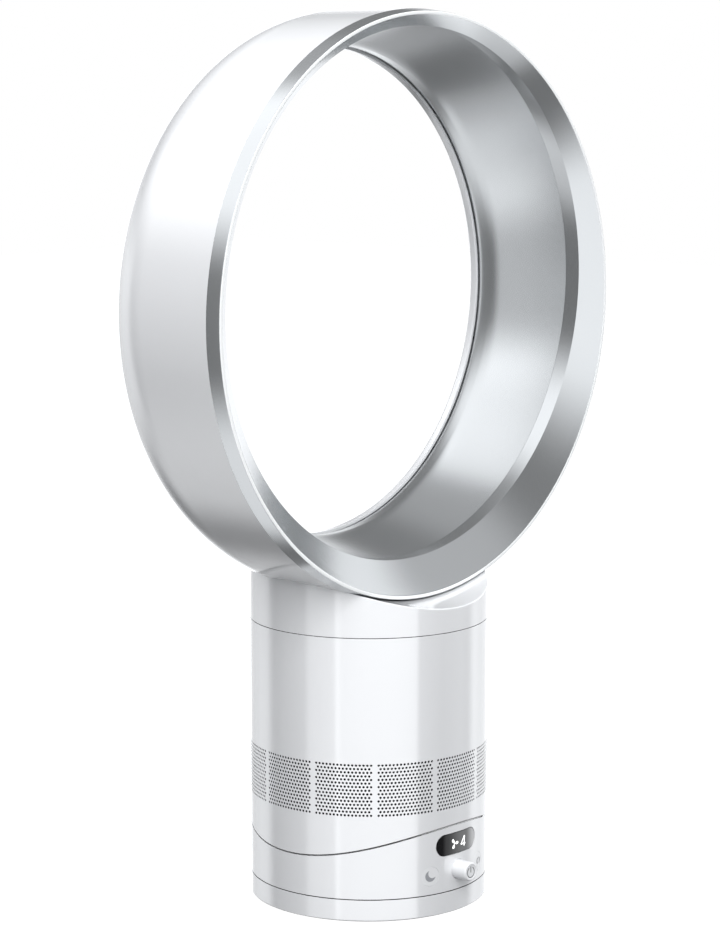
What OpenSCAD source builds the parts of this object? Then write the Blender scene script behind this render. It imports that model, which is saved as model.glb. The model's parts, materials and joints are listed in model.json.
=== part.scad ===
// Desk fan without outside blades: a foot, a turning base, a tilting body with the impeller, and an air loop.
// Millimetres. Z is up, the front faces -Y, and the origin is the centre of the underside.

/* [Overall] */
// Diameter of the foot, base, body and neck
body_d = 148; // [140:1:156]
// Wall of the moulded shells
shell_wall = 2.5; // [2:0.1:3]
// Width of the seams between the pieces that move
seam = 0.5; // [0.4:0.05:0.8]
// Height of the tilt axis above the table
tilt_axis_z = 212.7; // [205:0.5:220]
// Lowest point of the curved seam between base and body
wave_low_z = 38.5; // [37:0.5:42]
// Height of the seam between body and neck
body_top_z = 175.2; // [172:0.5:182]

/* [Foot] */
// Height of the seam between foot and base
foot_seam_z = 13.8; // [13:0.2:16]
// How far the rubber feet lift the foot ring
foot_lift = 0.4; // [0.3:0.1:1]
// Thickness of a rubber foot
pad_t = 2; // [1.6:0.1:2.4]
// Number of rubber feet
pad_count = 6; // [4:1:8]
// Thickness of the foot plate
foot_plate_t = 2.4; // [2:0.1:2.8]
// Outer diameter of the spindle that the base turns on
spindle_d = 18; // [16:0.5:20]
// Diameter of the hole through the spindle
spindle_bore_d = 12; // [9:0.5:12.5]

/* [Oscillation gears] */
// Tooth size of both gears
gear_module = 1; // [0.9:0.02:1.05]
// Teeth of the sector that is fixed to the foot
sector_teeth_count = 23; // [23:2:25]
// Thickness of the fixed gear
gear_t = 6; // [5:0.2:6.4]

/* [Base] */
// Thickness of the base's floor
chassis_t = 2.2; // [2:0.1:2.6]
// Thickness of the curved cradle plate
cradle_t = 2.5; // [2:0.1:2.6]
// Diameter of the oscillation motor
osc_motor_d = 28; // [24:0.5:30]
// Height of the oscillation motor
osc_motor_h = 12; // [10:0.5:13]

/* [Controls] */
// Width of the display window
display_w = 36.6; // [34:0.2:39]
// Height of the display window
display_h = 13.7; // [12:0.1:13.8]
// Height of the middle of the display window
display_z = 43.2; // [42.6:0.1:43.3]
// Diameter of the knob
knob_d = 11.7; // [10:0.1:12.5]
// How far the knob stands out of the shell
knob_out = 10.5; // [8:0.5:13]
// Height of the knob
knob_z = 26.4; // [26:0.1:27]
// Travel of the knob when it is pressed
knob_travel = 1.2; // [0.8:0.1:1.4]
// Diameter of the round buttons
button_d = 12; // [11:0.1:12.4]
// Distance of each button from the middle
button_x = 22; // [21.5:0.1:23]
// Height of the buttons
button_z = 25.6; // [25.4:0.1:27]
// Travel of a button
button_travel = 0.8; // [0.5:0.1:0.9]

/* [Body] */
// Thickness of the curved saddle plate
saddle_t = 3.5; // [3:0.1:4]
// Height of the lowest row of air holes
inlet_low_z = 66.4; // [65:0.2:68]
// Height of the highest row of air holes
inlet_high_z = 97.4; // [95:0.2:98]
// Patches of air holes around the body
patch_count = 12; // [10:1:12]
// Angle that the hole centres of a patch span
patch_angle = 22.4; // [20:0.2:24]
// Rows of air holes
inlet_row_count = 5; // [5:2:7]
// Air holes in a long row of a patch
inlet_column_count = 6; // [5:1:7]
// Diameter of an air hole
inlet_hole_d = 2.8; // [2:0.1:3]

/* [Impeller and motor] */
// Diameter of the inlet of the impeller
impeller_eye_d = 84; // [78:1:86]
// Diameter of the duct around the top of the impeller
duct_d = 116; // [114:1:117]
// Gap between the blades and the duct
blade_gap = 0.8; // [0.6:0.1:1.2]
// Number of blades
blade_count = 9; // [7:1:11]
// Thickness of a blade
blade_t = 1.4; // [1:0.1:1.8]
// Diameter of the motor bucket
bucket_d = 80; // [76:1:82]
// Outer diameter of the stator
stator_d = 46; // [42:1:50]
// Diameter of the magnet rotor
rotor_d = 24; // [20:1:26]
// Diameter of the motor's shaft
shaft_d = 5; // [4:0.5:6]
// Outer diameter of a ball bearing
bearing_d = 16; // [14:0.5:18]

/* [Neck] */
// Inner diameter of the neck's air duct
neck_bore_d = 112; // [108:1:112]
// Angle that the loop turns to unlock
unlock_angle = 16; // [14:1:18]
// Number of bayonet lugs
lug_count = 4; // [3:1:5]

/* [Loop] */
// Outer diameter of the loop
loop_d = 356; // [340:2:372]
// Height of the lowest point of the loop
loop_low_z = 191.1; // [191:0.1:207]
// Front rim of the loop, ahead of the middle of the body
loop_front = 48; // [45:0.5:50]
// Rear edge of the loop, behind the middle of the body
loop_rear = 47; // [45:0.5:50]
// How far the front rim is stepped in from the loop's outer wall
rim_step = 1.4; // [0.7:0.1:3]
// Width of the silver strip on the outer wall
strip_w = 9.5; // [8:0.5:12]
// Wall of the loop's casings
loop_wall = 2; // [1.6:0.1:2.2]
// How far the flare and the guide band lie above the middle of the loop
front_rise = 7.6; // [6:0.2:8]
// How far the slot and its lip lie above the middle of the loop
rear_rise = 4.8; // [3.6:0.2:5.6]
// Inner edge of the flare, in from the loop's outer wall
flare_inset = 16.8; // [16:0.1:18.6]
// Where the guide band meets the inner casing, in from the loop's outer wall
guide_inset = 15.3; // [14.6:0.1:17]
// Throat, in from the loop's outer wall
throat_inset = 26.7; // [26:0.1:28.6]
// Width of the air slot
slot_gap = 1.4; // [1.2:0.1:1.8]

/* [Hidden] */
$fn = 96;
drum_fn = 360;

// Overrun of every cut
cut = 1;
// Clearance between fixed neighbours
fit_gap = 0.2;
// Clearance of a shaft in its bearing
run_gap = 0.06;
// Clearance between moving neighbours
move_gap = 0.3;

body_r = body_d / 2;
inner_r = body_r - shell_wall;
// What stands inside the shells stays within this radius
core_r = inner_r - fit_gap;
tilt_r = tilt_axis_z - wave_low_z;
wave_high_z = tilt_axis_z - sqrt(tilt_r * tilt_r - body_r * body_r);
foot_top_z = foot_seam_z - seam / 2;
base_low_z = foot_seam_z + seam / 2;
drum_w = body_d + 2 * cut;

// Foot
ledge_w = 5.5;
plate_low_z = pad_t;
plate_top_z = plate_low_z + foot_plate_t;
pad_in_r = 52;
pad_out_r = 62;
pad_arc_angle = 30;
centre_pad_r = 12;
glide_in_r = 60.5;
glide_w = 5;
glide_t = 2;
chassis_low_z = base_low_z + move_gap;
glide_top_z = chassis_low_z - move_gap;
glide_low_z = glide_top_z - glide_t;
notch_w = 12;
hub_r = spindle_d / 2 + shell_wall;
hub_h = 1.6;
edge_round = 0.8;
edge_share = 0.3;

// Oscillation gears; the fixed one is a sector of a full circle of teeth
fixed_teeth_count = 60;
pinion_teeth_count = 12;
pressure_angle = 25;
tooth_root_share = 1.25;
tooth_tip_share = 0.95;
flank_steps = 4;
sector_end_share = 0.4;
sector_steps = 12;
backlash = 0.24;
gear_low_z = plate_top_z;
gear_top_z = gear_low_z + gear_t;
gear_distance = gear_module * (fixed_teeth_count + pinion_teeth_count) / 2;
gear_rim_w = 10;
gear_screw_count = 3;
gear_screw_angle = 36;
pinion_lift = 0.6;
pinion_shaft_r = 2.5;

// Screws
screw_r = 1.5;
screw_head_r = 2.7;
screw_head_h = 2;
screw_gap = 0.12;

// Fixed gear's screws and rim
gear_pitch_r = gear_module * fixed_teeth_count / 2;
gear_screw_ring = gear_pitch_r - tooth_root_share * gear_module - screw_head_r - fit_gap;
gear_rim_r = gear_pitch_r - gear_rim_w;

// Supply socket and lead
socket_w = 9;
socket_depth = 12;
socket_h = 8.4;
socket_collar_r = 4.6;
socket_recess_r = 3.8;
socket_recess_depth = 2.5;
socket_bore_r = 2.85;
socket_bore_depth = 9.5;
socket_pin_r = 1.05;
socket_pin_l = 6;
socket_z = plate_top_z + socket_h / 2;
socket_face_y = body_r - edge_round / 2;
socket_back_y = inner_r - fit_gap - socket_depth;
lead_r = 1.6;
lead_hole_r = lead_r + fit_gap;
lead_z = plate_top_z + lead_hole_r + hub_h / 2;

// Base
chassis_top_z = chassis_low_z + chassis_t;
bush_wall = 2;
bush_in_r = spindle_d / 2 + run_gap;
bush_out_r = bush_in_r + bush_wall;
bush_h = 7.2;
bush_top_z = chassis_low_z + bush_h;
bush_holder_r = bush_out_r + fit_gap / 2 + shell_wall;
clip_low_z = bush_top_z + move_gap;
clip_t = 1.2;
clip_w = 5;
clip_depth = 1;
clip_mouth_w = 10;
clip_in_r = spindle_d / 2 - clip_depth;
spindle_top_z = clip_low_z + clip_t + cut;
cradle_in_r = tilt_r + seam / 2;
cradle_out_r = cradle_in_r + cradle_t;
pillar_x = 40;
pillar_y = 35;
pillar_r = 4;
pillar_boss_h = 2.5;
pillar_low_z = chassis_top_z + pillar_boss_h;
pillar_screw_l = 10;
screw_recess = 2.6;

// Oscillation motor
osc_motor_offset = 6;
osc_motor_x = gear_distance + osc_motor_offset;
osc_ear_offset = 4.2;
osc_ear_reach = osc_motor_d / 2 + osc_ear_offset;
osc_ear_r = 3.6;
osc_ear_t = 2;
osc_shaft_hole_r = pinion_shaft_r + run_gap;
osc_shaft_depth = 6;
osc_shaft_top_z = chassis_top_z + osc_shaft_depth - move_gap;
osc_screw_l = 4;

// Controls
window_gap = 0.15;
lens_flange = 1.5;
lens_flange_t = 1.1;
lens_inset = 0.05;
lens_back_r = inner_r - window_gap;
board_y = -57.5;
board_t = 1.6;
board_w = 60;
board_low_z = 18.4;
board_high_z = 40;
module_face_t = 2.8;
module_w = 32;
module_front_y = fit_gap - sqrt(pow(lens_back_r - lens_flange_t, 2) - pow(module_w / 2, 2));
module_low_z = 37.8;
module_high_z = 47.4;
module_block_high_z = 43.6;
switch_body = 6;
switch_h = 3.5;
plunger_r = 1.2;
plunger_h = 0.8;
button_flange = 1.2;
button_flange_t = 1;
button_gap = 0.25;
button_flange_y = -63.9;
button_stem_r = 1.8;
switch_tip_y = board_y - switch_h - plunger_h;
button_end_y = switch_tip_y - button_travel - move_gap;
knob_hole_gap = 0.35;
knob_face_y = -body_r - knob_out;
knob_back_y = -70;
knob_shaft_r = 3;
knob_flat = 0.6;
encoder_w = 14;
encoder_front_y = -67.5;
encoder_wall = 1.2;
rotor_disc_r = 5.5;
rotor_disc_t = 3;
rotor_gap = 0.1;
encoder_room_r = rotor_disc_r + move_gap;
rotor_front_y = encoder_front_y + encoder_wall + move_gap;
rotor_back_y = rotor_front_y + rotor_disc_t;
knob_end_y = rotor_back_y + move_gap;
encoder_back_y = knob_end_y + knob_travel + move_gap;

// Control board
main_board_w = 56;
main_board_l = 36;
main_board_y = 40;
main_board_lift = 5.5;
main_board_t = 1.6;
board_post_r = 2.5;
board_post_inset = 3.5;
chip_w = 14;
chip_h = 3;
capacitor_r = 4;
capacitor_h = 8;

// Tilting saddle and hook
saddle_out_r = tilt_r - seam / 2;
saddle_in_r = saddle_out_r - saddle_t;
saddle_rim_w = 2.8;
saddle_rim_z = 61.5;
hook_neck_w = 12;
hook_l = 16;
hook_foot_w = 30;
hook_foot_t = 2.5;
glide_pad_t = 0.6;
glide_pad_w = 6;
tilt_limit_angle = 10;
slot_side_gap = 0.5;
slot_end_gap = 0.8;
slot_half_angle = tilt_limit_angle + asin(hook_l / 2 / cradle_in_r);
slot_half_l = cradle_out_r * sin(slot_half_angle) + slot_end_gap;
hook_pad_r = cradle_out_r + move_gap;
hook_foot_r = hook_pad_r + glide_pad_t;
hook_low_r = hook_foot_r + hook_foot_t;
hook_screw_y = 4.2;
hook_screw_r = 1.25;
hook_screw_l = 9;
hook_head_r = 2.3;
hook_head_h = 1.6;
foam_t = 10;
foam_hole_r = 18;

// Impeller, duct and motor
housing_low_z = 101;
bell_rim_w = 7;
bell_r = impeller_eye_d / 2 + bell_rim_w;
bell_h = 2.5;
eye_z = 106;
duct_low_z = 130;
duct_top_z = 167.2;
duct_wall = 2;
duct_r = duct_d / 2;
flange_t = 2;
seal_w = 3;
seal_over = 1.2;
hub_low_z = 104;
hub_low_r = 13;
hub_top_z = 128.2;
hub_top_r = bucket_d / 2;
hub_plate_t = 2;
// Where the inside of the duct widens: share of the way out, then up
bell_shares = [0.3, 0.4];
duct_low_shares = [0.6, 0.45];
duct_high_shares = [0.92, 0.8];
// The same for the middle of the hub's cone
hub_shares = [0.35, 0.55];
blade_steps = 8;
blade_sweep_angle = 48;
blade_bite = 0.8;
bucket_low_z = 129;
bucket_wall = 2;
bucket_top_z = 158;
bucket_r = bucket_d / 2;
nose_top_z = 171;
nose_top_r = 9;
vane_count = 9;
vane_t = 1.6;
vane_low_z = 132;
vane_high_z = 150;
vane_sweep_angle = 22;
sleeve_t = 1.5;
bearing_t = 4;
bearing_low_z = bucket_low_z + bucket_wall;
bearing_high_z = 152;
bearing_seat_wall = 2;
shaft_r = shaft_d / 2;
shaft_low_z = 105;
shaft_top_z = bearing_high_z + bearing_t;
hub_boss_r = 7;
stator_low_z = 137;
stator_h = 12;
stator_gap = 0.8;
stator_slot_count = 6;
stator_slot_w = 6;
rotor_h = 13;
motor_board_r = 34;
motor_board_in_r = 15;
motor_board_z = 153;
motor_board_t = 1.6;
isolator_low_z = 152;
isolator_h = 5;
motor_lead_r = 1.6;
motor_lead_y = 66;

// Neck
neck_low_z = body_top_z + seam / 2;
shell_top_z = body_top_z - seam / 2;
neck_bore_r = neck_bore_d / 2;
neck_wall = 2.5;
neck_out_r = neck_bore_r + neck_wall;
neck_gap = 0.5;
lug_reach = 2.4;
lug_h = 3;
lug_angle = 12;
lug_gap_angle = 1;
lip_h = 2.8;
lug_top_z = shell_top_z - lip_h - move_gap;
lug_low_z = lug_top_z - lug_h;
socket_low_z = duct_top_z;
neck_tube_low_z = socket_low_z + move_gap;
chamber_r = neck_out_r + lug_reach + move_gap;
neck_flange_t = 2;
seal_r = 66;
seal_ring_w = 3;
seal_ring_h = 2.2;
seal_stand = 0.2;

// Loop
loop_r = loop_d / 2;
rim_r = loop_r - rim_step;
loop_z = loop_low_z + loop_r;
flare_r = loop_r - flare_inset;
guide_r = loop_r - guide_inset;
throat_r = loop_r - throat_inset;
strip_y = strip_w - loop_front;
saddle_fit = 0.3;
collar_r = loop_r + saddle_fit;
collar_plate_r = collar_r + shell_wall;
round_radial = 18;
round_axial = 33;
round_steps = 10;
rim_face_w = 1.2;
flare_mouth_r = rim_r - rim_face_w;
flare_half_angle = 49.1;
flare_lean_angle = 5.4;
flare_top_slope = tan(flare_half_angle - flare_lean_angle);
flare_length = 2 * flare_mouth_r / (flare_top_slope + tan(flare_half_angle + flare_lean_angle));
flare_apex_y = flare_length - loop_front;
flare_apex_rise = flare_mouth_r - flare_length * flare_top_slope;
flare_tip_share = 0.4;
flare_over = 26;
flare_tip = flare_length * flare_tip_share;
flare_reach = flare_length + flare_over;
flare_back_y = -45;
flare_back_inset = 18.6;
flare_back_in_r = rim_r - flare_back_inset;
flare_back_share = 1.045;
guide_y = -25.4;
throat_y = 30;
lip_y = 40.8;
lip_r = throat_r + fit_gap;
slot_flow_r = lip_r + loop_wall + slot_gap;
inner_over = 1.4;
inner_end_y = lip_y + inner_over;
air_hole_w = 84;
air_hole_l = 60;
air_hole_round = 14;
neck_screw_x = 58;
neck_screw_y = 22;
neck_boss_r = 3.5;
neck_boss_h = 7;
neck_screw_l = 11;
spacer_count = 12;
spacer_w = 2;
join_gap = 0.5;
join_flange = loop_r - loop_wall - join_gap - front_rise - guide_r - loop_wall;
join_flange_t = 1.6;
tongue_l = 5;
tongue_t = 1.4;
// Bulge of the inner casing between the guide band and the throat: place along it, then height
casing_shares = [[0.15, 0.10], [0.35, 0.30], [0.55, 0.56], [0.75, 0.82], [0.9, 0.96]];
slot_shares = [0.45, 0.2];

// Geometry helpers
function polar(r, a) = [r * cos(a), r * sin(a)];
function spread(count, width) = [for (i = [0 : count - 1]) (i - (count - 1) / 2) * width];

// A tube about the Z axis
module tube(r_out, r_in, low, high) {
    translate([0, 0, low])
        difference() {
            cylinder(r = r_out, h = high - low);
            translate([0, 0, -cut])
                cylinder(r = r_in, h = high - low + 2 * cut);
        }
}

// A rod about the Z axis
module rod(r, low, high) {
    translate([0, 0, low])
        cylinder(r = r, h = high - low);
}

// A rod along Y, from one y to another
module rod_y(r, y0, y1) {
    translate([0, y0, 0])
        rotate([-90, 0, 0])
            cylinder(r = r, h = y1 - y0);
}

// The drum about the tilt axis that shapes the curved seam
module tilt_drum(r) {
    translate([0, 0, tilt_axis_z])
        rotate([0, 90, 0])
            cylinder(r = r, h = drum_w, center = true, $fn = drum_fn);
}

// The drum about the loop's axis
module loop_drum(r) {
    translate([0, 0, loop_z])
        rotate([90, 0, 0])
            cylinder(r = r, h = drum_w, center = true, $fn = drum_fn);
}

// A ring sector about the Z axis
module sector(r_out, r_in, low, high, from, to) {
    translate([0, 0, low])
        rotate([0, 0, from])
            rotate_extrude(angle = to - from)
                translate([r_in, 0])
                    square([r_out - r_in, high - low]);
}

// A screw with its head up, its seat at z = 0
module screw(r, length, head_r, head_h) {
    translate([0, 0, -length])
        cylinder(r = r, h = length + head_h / 2);
    cylinder(r = head_r, h = head_h);
}

// A plate of an arc about the tilt axis, within the shells
module tilt_plate(r_out, r_in, within) {
    intersection() {
        rod(within, 0, tilt_axis_z);
        difference() {
            tilt_drum(r_out);
            tilt_drum(r_in);
        }
        translate([-within, -within, 0])
            cube([2 * within, 2 * within, tilt_axis_z]);
    }
}

// A round-ended plate seen from the front, from one y to another
module pill(w, h, y0, y1) {
    translate([0, y1, 0])
        rotate([90, 0, 0])
            linear_extrude(height = y1 - y0) {
                square([w - h, h], center = true);
                for (side = [-1, 1])
                    translate([side * (w - h) / 2, 0])
                        circle(d = h);
            }
}

// Involute gear outline
function involute_angle(base, r) = tan(acos(base / r)) * 180 / PI - acos(base / r);
function flank_half(teeth, m, r) =
    let (pitch = teeth * m / 2, base = pitch * cos(pressure_angle))
    (90 - backlash / m * 90 / PI) / teeth + involute_angle(base, pitch) - involute_angle(base, max(r, base));
function tooth(teeth, m) =
    let (
        pitch = teeth * m / 2,
        base = pitch * cos(pressure_angle),
        root = pitch - tooth_root_share * m,
        tip = pitch + tooth_tip_share * m,
        low = max(root, base),
        radii = [for (k = [0 : flank_steps]) low + (tip - low) * k / flank_steps]
    )
    concat(
        [[root, -flank_half(teeth, m, low)]],
        [for (r = radii) [r, -flank_half(teeth, m, r)]],
        [for (k = [flank_steps : -1 : 0]) [radii[k], flank_half(teeth, m, radii[k])]],
        [[root, flank_half(teeth, m, low)]]
    );
function tooth_ring(teeth, m, made) = [
    for (i = [0 : made - 1])
        for (p = tooth(teeth, m))
            polar(p[0], p[1] + (i - (made - 1) / 2) * 360 / teeth)
];

// Foot

module foot_ring() {
    color("white")
        difference() {
            translate([0, 0, foot_lift])
                rotate_extrude()
                    polygon([
                        [inner_r - ledge_w, 0],
                        [body_r - edge_round, 0],
                        [body_r - edge_round * edge_share, edge_round * edge_share],
                        [body_r, edge_round],
                        [body_r, foot_top_z - foot_lift],
                        [inner_r, foot_top_z - foot_lift],
                        [inner_r, plate_low_z - foot_lift],
                        [inner_r - ledge_w, plate_low_z - foot_lift]
                    ]);
            translate([0, 0, socket_z])
                rod_y(socket_collar_r + fit_gap, body_r / 2, body_r + cut);
        }
}

module foot_plate() {
    color("gainsboro")
        difference() {
            union() {
                rod(core_r, plate_low_z, plate_top_z);
                rod(hub_r, plate_top_z, plate_top_z + hub_h);
                rod(spindle_d / 2, plate_top_z, spindle_top_z);
                tube(glide_in_r + glide_w, glide_in_r, plate_top_z, glide_low_z);
            }
            rod(spindle_bore_d / 2, plate_low_z - cut, spindle_top_z + cut);
            tube(spindle_d, clip_in_r, clip_low_z - fit_gap / 2,
                clip_low_z + clip_t + fit_gap / 2);
            translate([-notch_w / 2, glide_in_r - glide_w, plate_top_z])
                cube([notch_w, 2 * glide_w + glide_in_r, glide_low_z]);
            translate([0, 0, lead_z])
                rod_y(lead_hole_r, 0, hub_r + cut);
            translate([0, 0, socket_z])
                rod_y(socket_collar_r + fit_gap, socket_back_y + socket_depth / 2 - fit_gap, body_r);
            for (a = gear_screw_places())
                rotate([0, 0, a])
                    translate([gear_screw_ring, 0, 0])
                        rod(screw_r + screw_gap, plate_low_z - cut, plate_top_z + cut);
        }
}

module rubber_feet() {
    color("dimgray") {
        rod(centre_pad_r, 0, pad_t);
        for (i = [0 : pad_count - 1])
            rotate([0, 0, (i + 0.5) * 360 / pad_count])
                sector(pad_out_r, pad_in_r, 0, pad_t, -pad_arc_angle / 2, pad_arc_angle / 2);
    }
}

module glide_ring() {
    color("whitesmoke")
        difference() {
            tube(glide_in_r + glide_w, glide_in_r, glide_low_z, glide_top_z);
            translate([-notch_w / 2, 0, glide_low_z - cut])
                cube([notch_w, body_r, glide_t + 2 * cut]);
        }
}

function gear_screw_places() = spread(gear_screw_count, gear_screw_angle);

module fixed_gear() {
    half = (sector_teeth_count - sector_end_share) * 180 / fixed_teeth_count;
    color("ivory")
        difference() {
            translate([0, 0, gear_low_z])
                linear_extrude(height = gear_t)
                    polygon(concat(
                        tooth_ring(fixed_teeth_count, gear_module, sector_teeth_count),
                        [for (k = [sector_steps : -1 : -sector_steps]) polar(gear_rim_r, k * half / sector_steps)]
                    ));
            for (a = gear_screw_places())
                rotate([0, 0, a])
                    translate([gear_screw_ring, 0, 0])
                        rod(screw_r + screw_gap, gear_low_z - cut, gear_top_z + cut);
        }
}

module gear_screws() {
    color("silver")
        for (a = gear_screw_places())
            rotate([0, 0, a])
                translate([gear_screw_ring, 0, gear_top_z])
                    screw(screw_r, gear_t + foot_plate_t - fit_gap, screw_head_r, screw_head_h);
}

module spindle_clip() {
    color("silver")
        difference() {
            tube(clip_in_r + clip_w, clip_in_r + fit_gap / 2, clip_low_z, clip_low_z + clip_t);
            translate([-clip_mouth_w / 2, -body_r, clip_low_z - cut])
                cube([clip_mouth_w, body_r, clip_t + 2 * cut]);
        }
}

module dc_socket() {
    color("dimgray") {
        difference() {
            union() {
                translate([-socket_w / 2, socket_back_y, plate_top_z])
                    cube([socket_w, socket_depth, socket_h]);
                translate([0, 0, socket_z])
                    rod_y(socket_collar_r, socket_back_y + socket_depth / 2, socket_face_y);
            }
            translate([0, 0, socket_z]) {
                rod_y(socket_recess_r, socket_face_y - socket_recess_depth, socket_face_y + cut);
                rod_y(socket_bore_r, socket_face_y - socket_recess_depth - socket_bore_depth, socket_face_y);
            }
        }
        translate([0, 0, socket_z])
            rod_y(socket_pin_r, socket_face_y - socket_recess_depth - socket_bore_depth - cut,
                socket_face_y - socket_recess_depth - socket_bore_depth + socket_pin_l);
    }
}

module supply_lead() {
    color("darkslategray") {
        translate([0, 0, lead_z]) {
            rod_y(lead_r, 0, socket_back_y);
            sphere(r = lead_r);
        }
        rod(lead_r, lead_z, spindle_top_z);
    }
}

// Base

module base_shell() {
    color("white")
        difference() {
            tube(body_r, inner_r, base_low_z, wave_high_z + cut);
            tilt_drum(cradle_in_r);
            translate([0, 0, display_z])
                pill(display_w, display_h, -body_r - cut, -body_r / 2);
            translate([0, 0, knob_z])
                rod_y(knob_d / 2 + knob_hole_gap, -body_r - cut, -body_r / 2);
            for (side = [-1, 1])
                translate([side * button_x, 0, button_z])
                    rod_y(button_d / 2 + button_gap, -body_r - cut, -body_r / 2);
        }
}

module pillar_places() {
    for (x = [-pillar_x, pillar_x])
        for (y = [-pillar_y, pillar_y])
            translate([x, y, 0])
                children();
}

module board_places() {
    for (x = [-1, 1])
        for (y = [-1, 1])
            translate([
                x * (main_board_w / 2 - board_post_inset),
                main_board_y + y * (main_board_l / 2 - board_post_inset),
                0
            ])
                children();
}

module base_chassis() {
    color("gainsboro")
        difference() {
            union() {
                rod(core_r, chassis_low_z, chassis_top_z);
                rod(bush_holder_r, chassis_low_z, bush_top_z - fit_gap);
                pillar_places()
                    rod(pillar_r, chassis_low_z, pillar_low_z);
                board_places()
                    rod(board_post_r, chassis_low_z, chassis_top_z + main_board_lift);
                translate([-board_w / 2 + cut, board_y, chassis_low_z])
                    cube([board_w - 2 * cut, board_t, board_low_z - chassis_low_z]);
            }
            rod(bush_out_r + fit_gap / 2, chassis_low_z - cut, bush_top_z + cut);
            translate([gear_distance, 0, 0])
                rod(pinion_shaft_r + move_gap, chassis_low_z - cut, chassis_top_z + cut);
            pillar_places() {
                rod(screw_head_r + fit_gap, chassis_low_z - cut, chassis_low_z + screw_recess);
                rod(screw_r + screw_gap, chassis_low_z, pillar_low_z + cut);
            }
            for (side = [-1, 1])
                translate([osc_motor_x, side * osc_ear_reach, 0])
                    rod(screw_r + screw_gap, chassis_low_z - cut, chassis_top_z + cut);
        }
}

module spindle_bush() {
    color("ivory")
        tube(bush_out_r, bush_in_r, chassis_low_z, bush_top_z);
}

module tilt_cradle() {
    color("white")
        difference() {
            union() {
                tilt_plate(cradle_out_r, cradle_in_r, core_r);
                difference() {
                    pillar_places()
                        rod(pillar_r, pillar_low_z, wave_high_z);
                    tilt_drum(cradle_out_r);
                }
            }
            translate([-hook_neck_w / 2 - slot_side_gap, -slot_half_l, 0])
                cube([hook_neck_w + 2 * slot_side_gap, 2 * slot_half_l, tilt_axis_z / 2]);
            pillar_places()
                rod(screw_r + screw_gap, pillar_low_z - cut, chassis_low_z + screw_recess + pillar_screw_l + cut);
        }
}

module cradle_screws() {
    color("silver")
        pillar_places()
            translate([0, 0, chassis_low_z + screw_recess])
                rotate([180, 0, 0])
                    screw(screw_r, pillar_screw_l, screw_head_r, screw_head_h);
}

// A ring of the shell's curve, from one radius to another
module lens_ring(r_out, r_in) {
    tube(r_out, r_in, display_z - display_h, display_z + display_h);
}

module display_lens() {
    color("#202428")
        union() {
            intersection() {
                lens_ring(body_r - lens_inset, lens_back_r - lens_flange_t / 2);
                translate([0, 0, display_z])
                    pill(display_w - 2 * window_gap, display_h - 2 * window_gap, -body_r - cut, -body_r / 2);
            }
            intersection() {
                lens_ring(lens_back_r, lens_back_r - lens_flange_t);
                translate([0, 0, display_z])
                    pill(display_w + 2 * lens_flange, display_h + 2 * lens_flange, -body_r - cut, -body_r / 2);
                translate([-body_r, -body_r, 0])
                    cube([body_d, body_r, display_z + display_h / 2 - window_gap]);
            }
        }
}

module display_module() {
    color("#2b2f33") {
        translate([-module_w / 2, module_front_y, module_low_z])
            cube([module_w, module_face_t, module_high_z - module_low_z]);
        translate([-module_w / 4, module_front_y, module_low_z])
            cube([module_w / 2, board_y - module_front_y, module_block_high_z - module_low_z]);
    }
}

module switch_board() {
    color("darkgreen")
        translate([-board_w / 2, board_y, board_low_z])
            cube([board_w, board_t, board_high_z - board_low_z]);
}

module button_switches() {
    for (side = [-1, 1])
        translate([side * button_x, 0, button_z]) {
            color("#303030")
                translate([-switch_body / 2, board_y - switch_h, -switch_body / 2])
                    cube([switch_body, switch_h, switch_body]);
            color("black")
                rod_y(plunger_r, switch_tip_y, board_y - switch_h / 2);
        }
}

module encoder_housing() {
    color("#3a3a3a")
        translate([0, 0, knob_z])
            difference() {
                union() {
                    translate([-encoder_w / 2, encoder_front_y, -encoder_w / 2])
                        cube([encoder_w, encoder_back_y + encoder_wall - encoder_front_y, encoder_w]);
                    translate([-encoder_w / 4, encoder_front_y, -encoder_w / 4])
                        cube([encoder_w / 2, board_y - encoder_front_y, encoder_w / 2]);
                }
                rod_y(encoder_room_r, encoder_front_y + encoder_wall, rotor_back_y + move_gap);
                rod_y(knob_shaft_r + move_gap, encoder_front_y - cut, encoder_back_y);
            }
}

module control_board() {
    low = chassis_top_z + main_board_lift;
    color("darkgreen")
        translate([-main_board_w / 2, main_board_y - main_board_l / 2, low])
            cube([main_board_w, main_board_l, main_board_t]);
    color("#303030")
        translate([-chip_w, main_board_y - chip_w / 2, low + main_board_t])
            cube([chip_w, chip_w, chip_h]);
    color("slategray")
        for (side = [1, 2])
            translate([side * (2 * capacitor_r + cut), main_board_y, 0])
                rod(capacitor_r, low + main_board_t, low + main_board_t + capacitor_h);
}

module osc_motor() {
    color("silver")
        difference() {
            union() {
                translate([osc_motor_x, 0, 0]) {
                    rod(osc_motor_d / 2, chassis_top_z, chassis_top_z + osc_motor_h);
                    for (side = [-1, 1])
                        translate([0, side * osc_ear_reach, 0])
                            rod(osc_ear_r, chassis_top_z, chassis_top_z + osc_ear_t);
                    translate([-osc_ear_r, -osc_ear_reach, chassis_top_z])
                        cube([2 * osc_ear_r, 2 * osc_ear_reach, osc_ear_t]);
                }
            }
            translate([gear_distance, 0, 0])
                rod(osc_shaft_hole_r, chassis_top_z - cut, chassis_top_z + osc_shaft_depth);
            for (side = [-1, 1])
                translate([osc_motor_x, side * osc_ear_reach, 0])
                    rod(screw_r + screw_gap, chassis_top_z - cut, chassis_top_z + osc_ear_t + cut);
        }
}

module motor_screws() {
    color("silver")
        for (side = [-1, 1])
            translate([osc_motor_x, side * osc_ear_reach, chassis_top_z + osc_ear_t])
                screw(screw_r, osc_screw_l, screw_head_r, screw_head_h);
}

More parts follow.
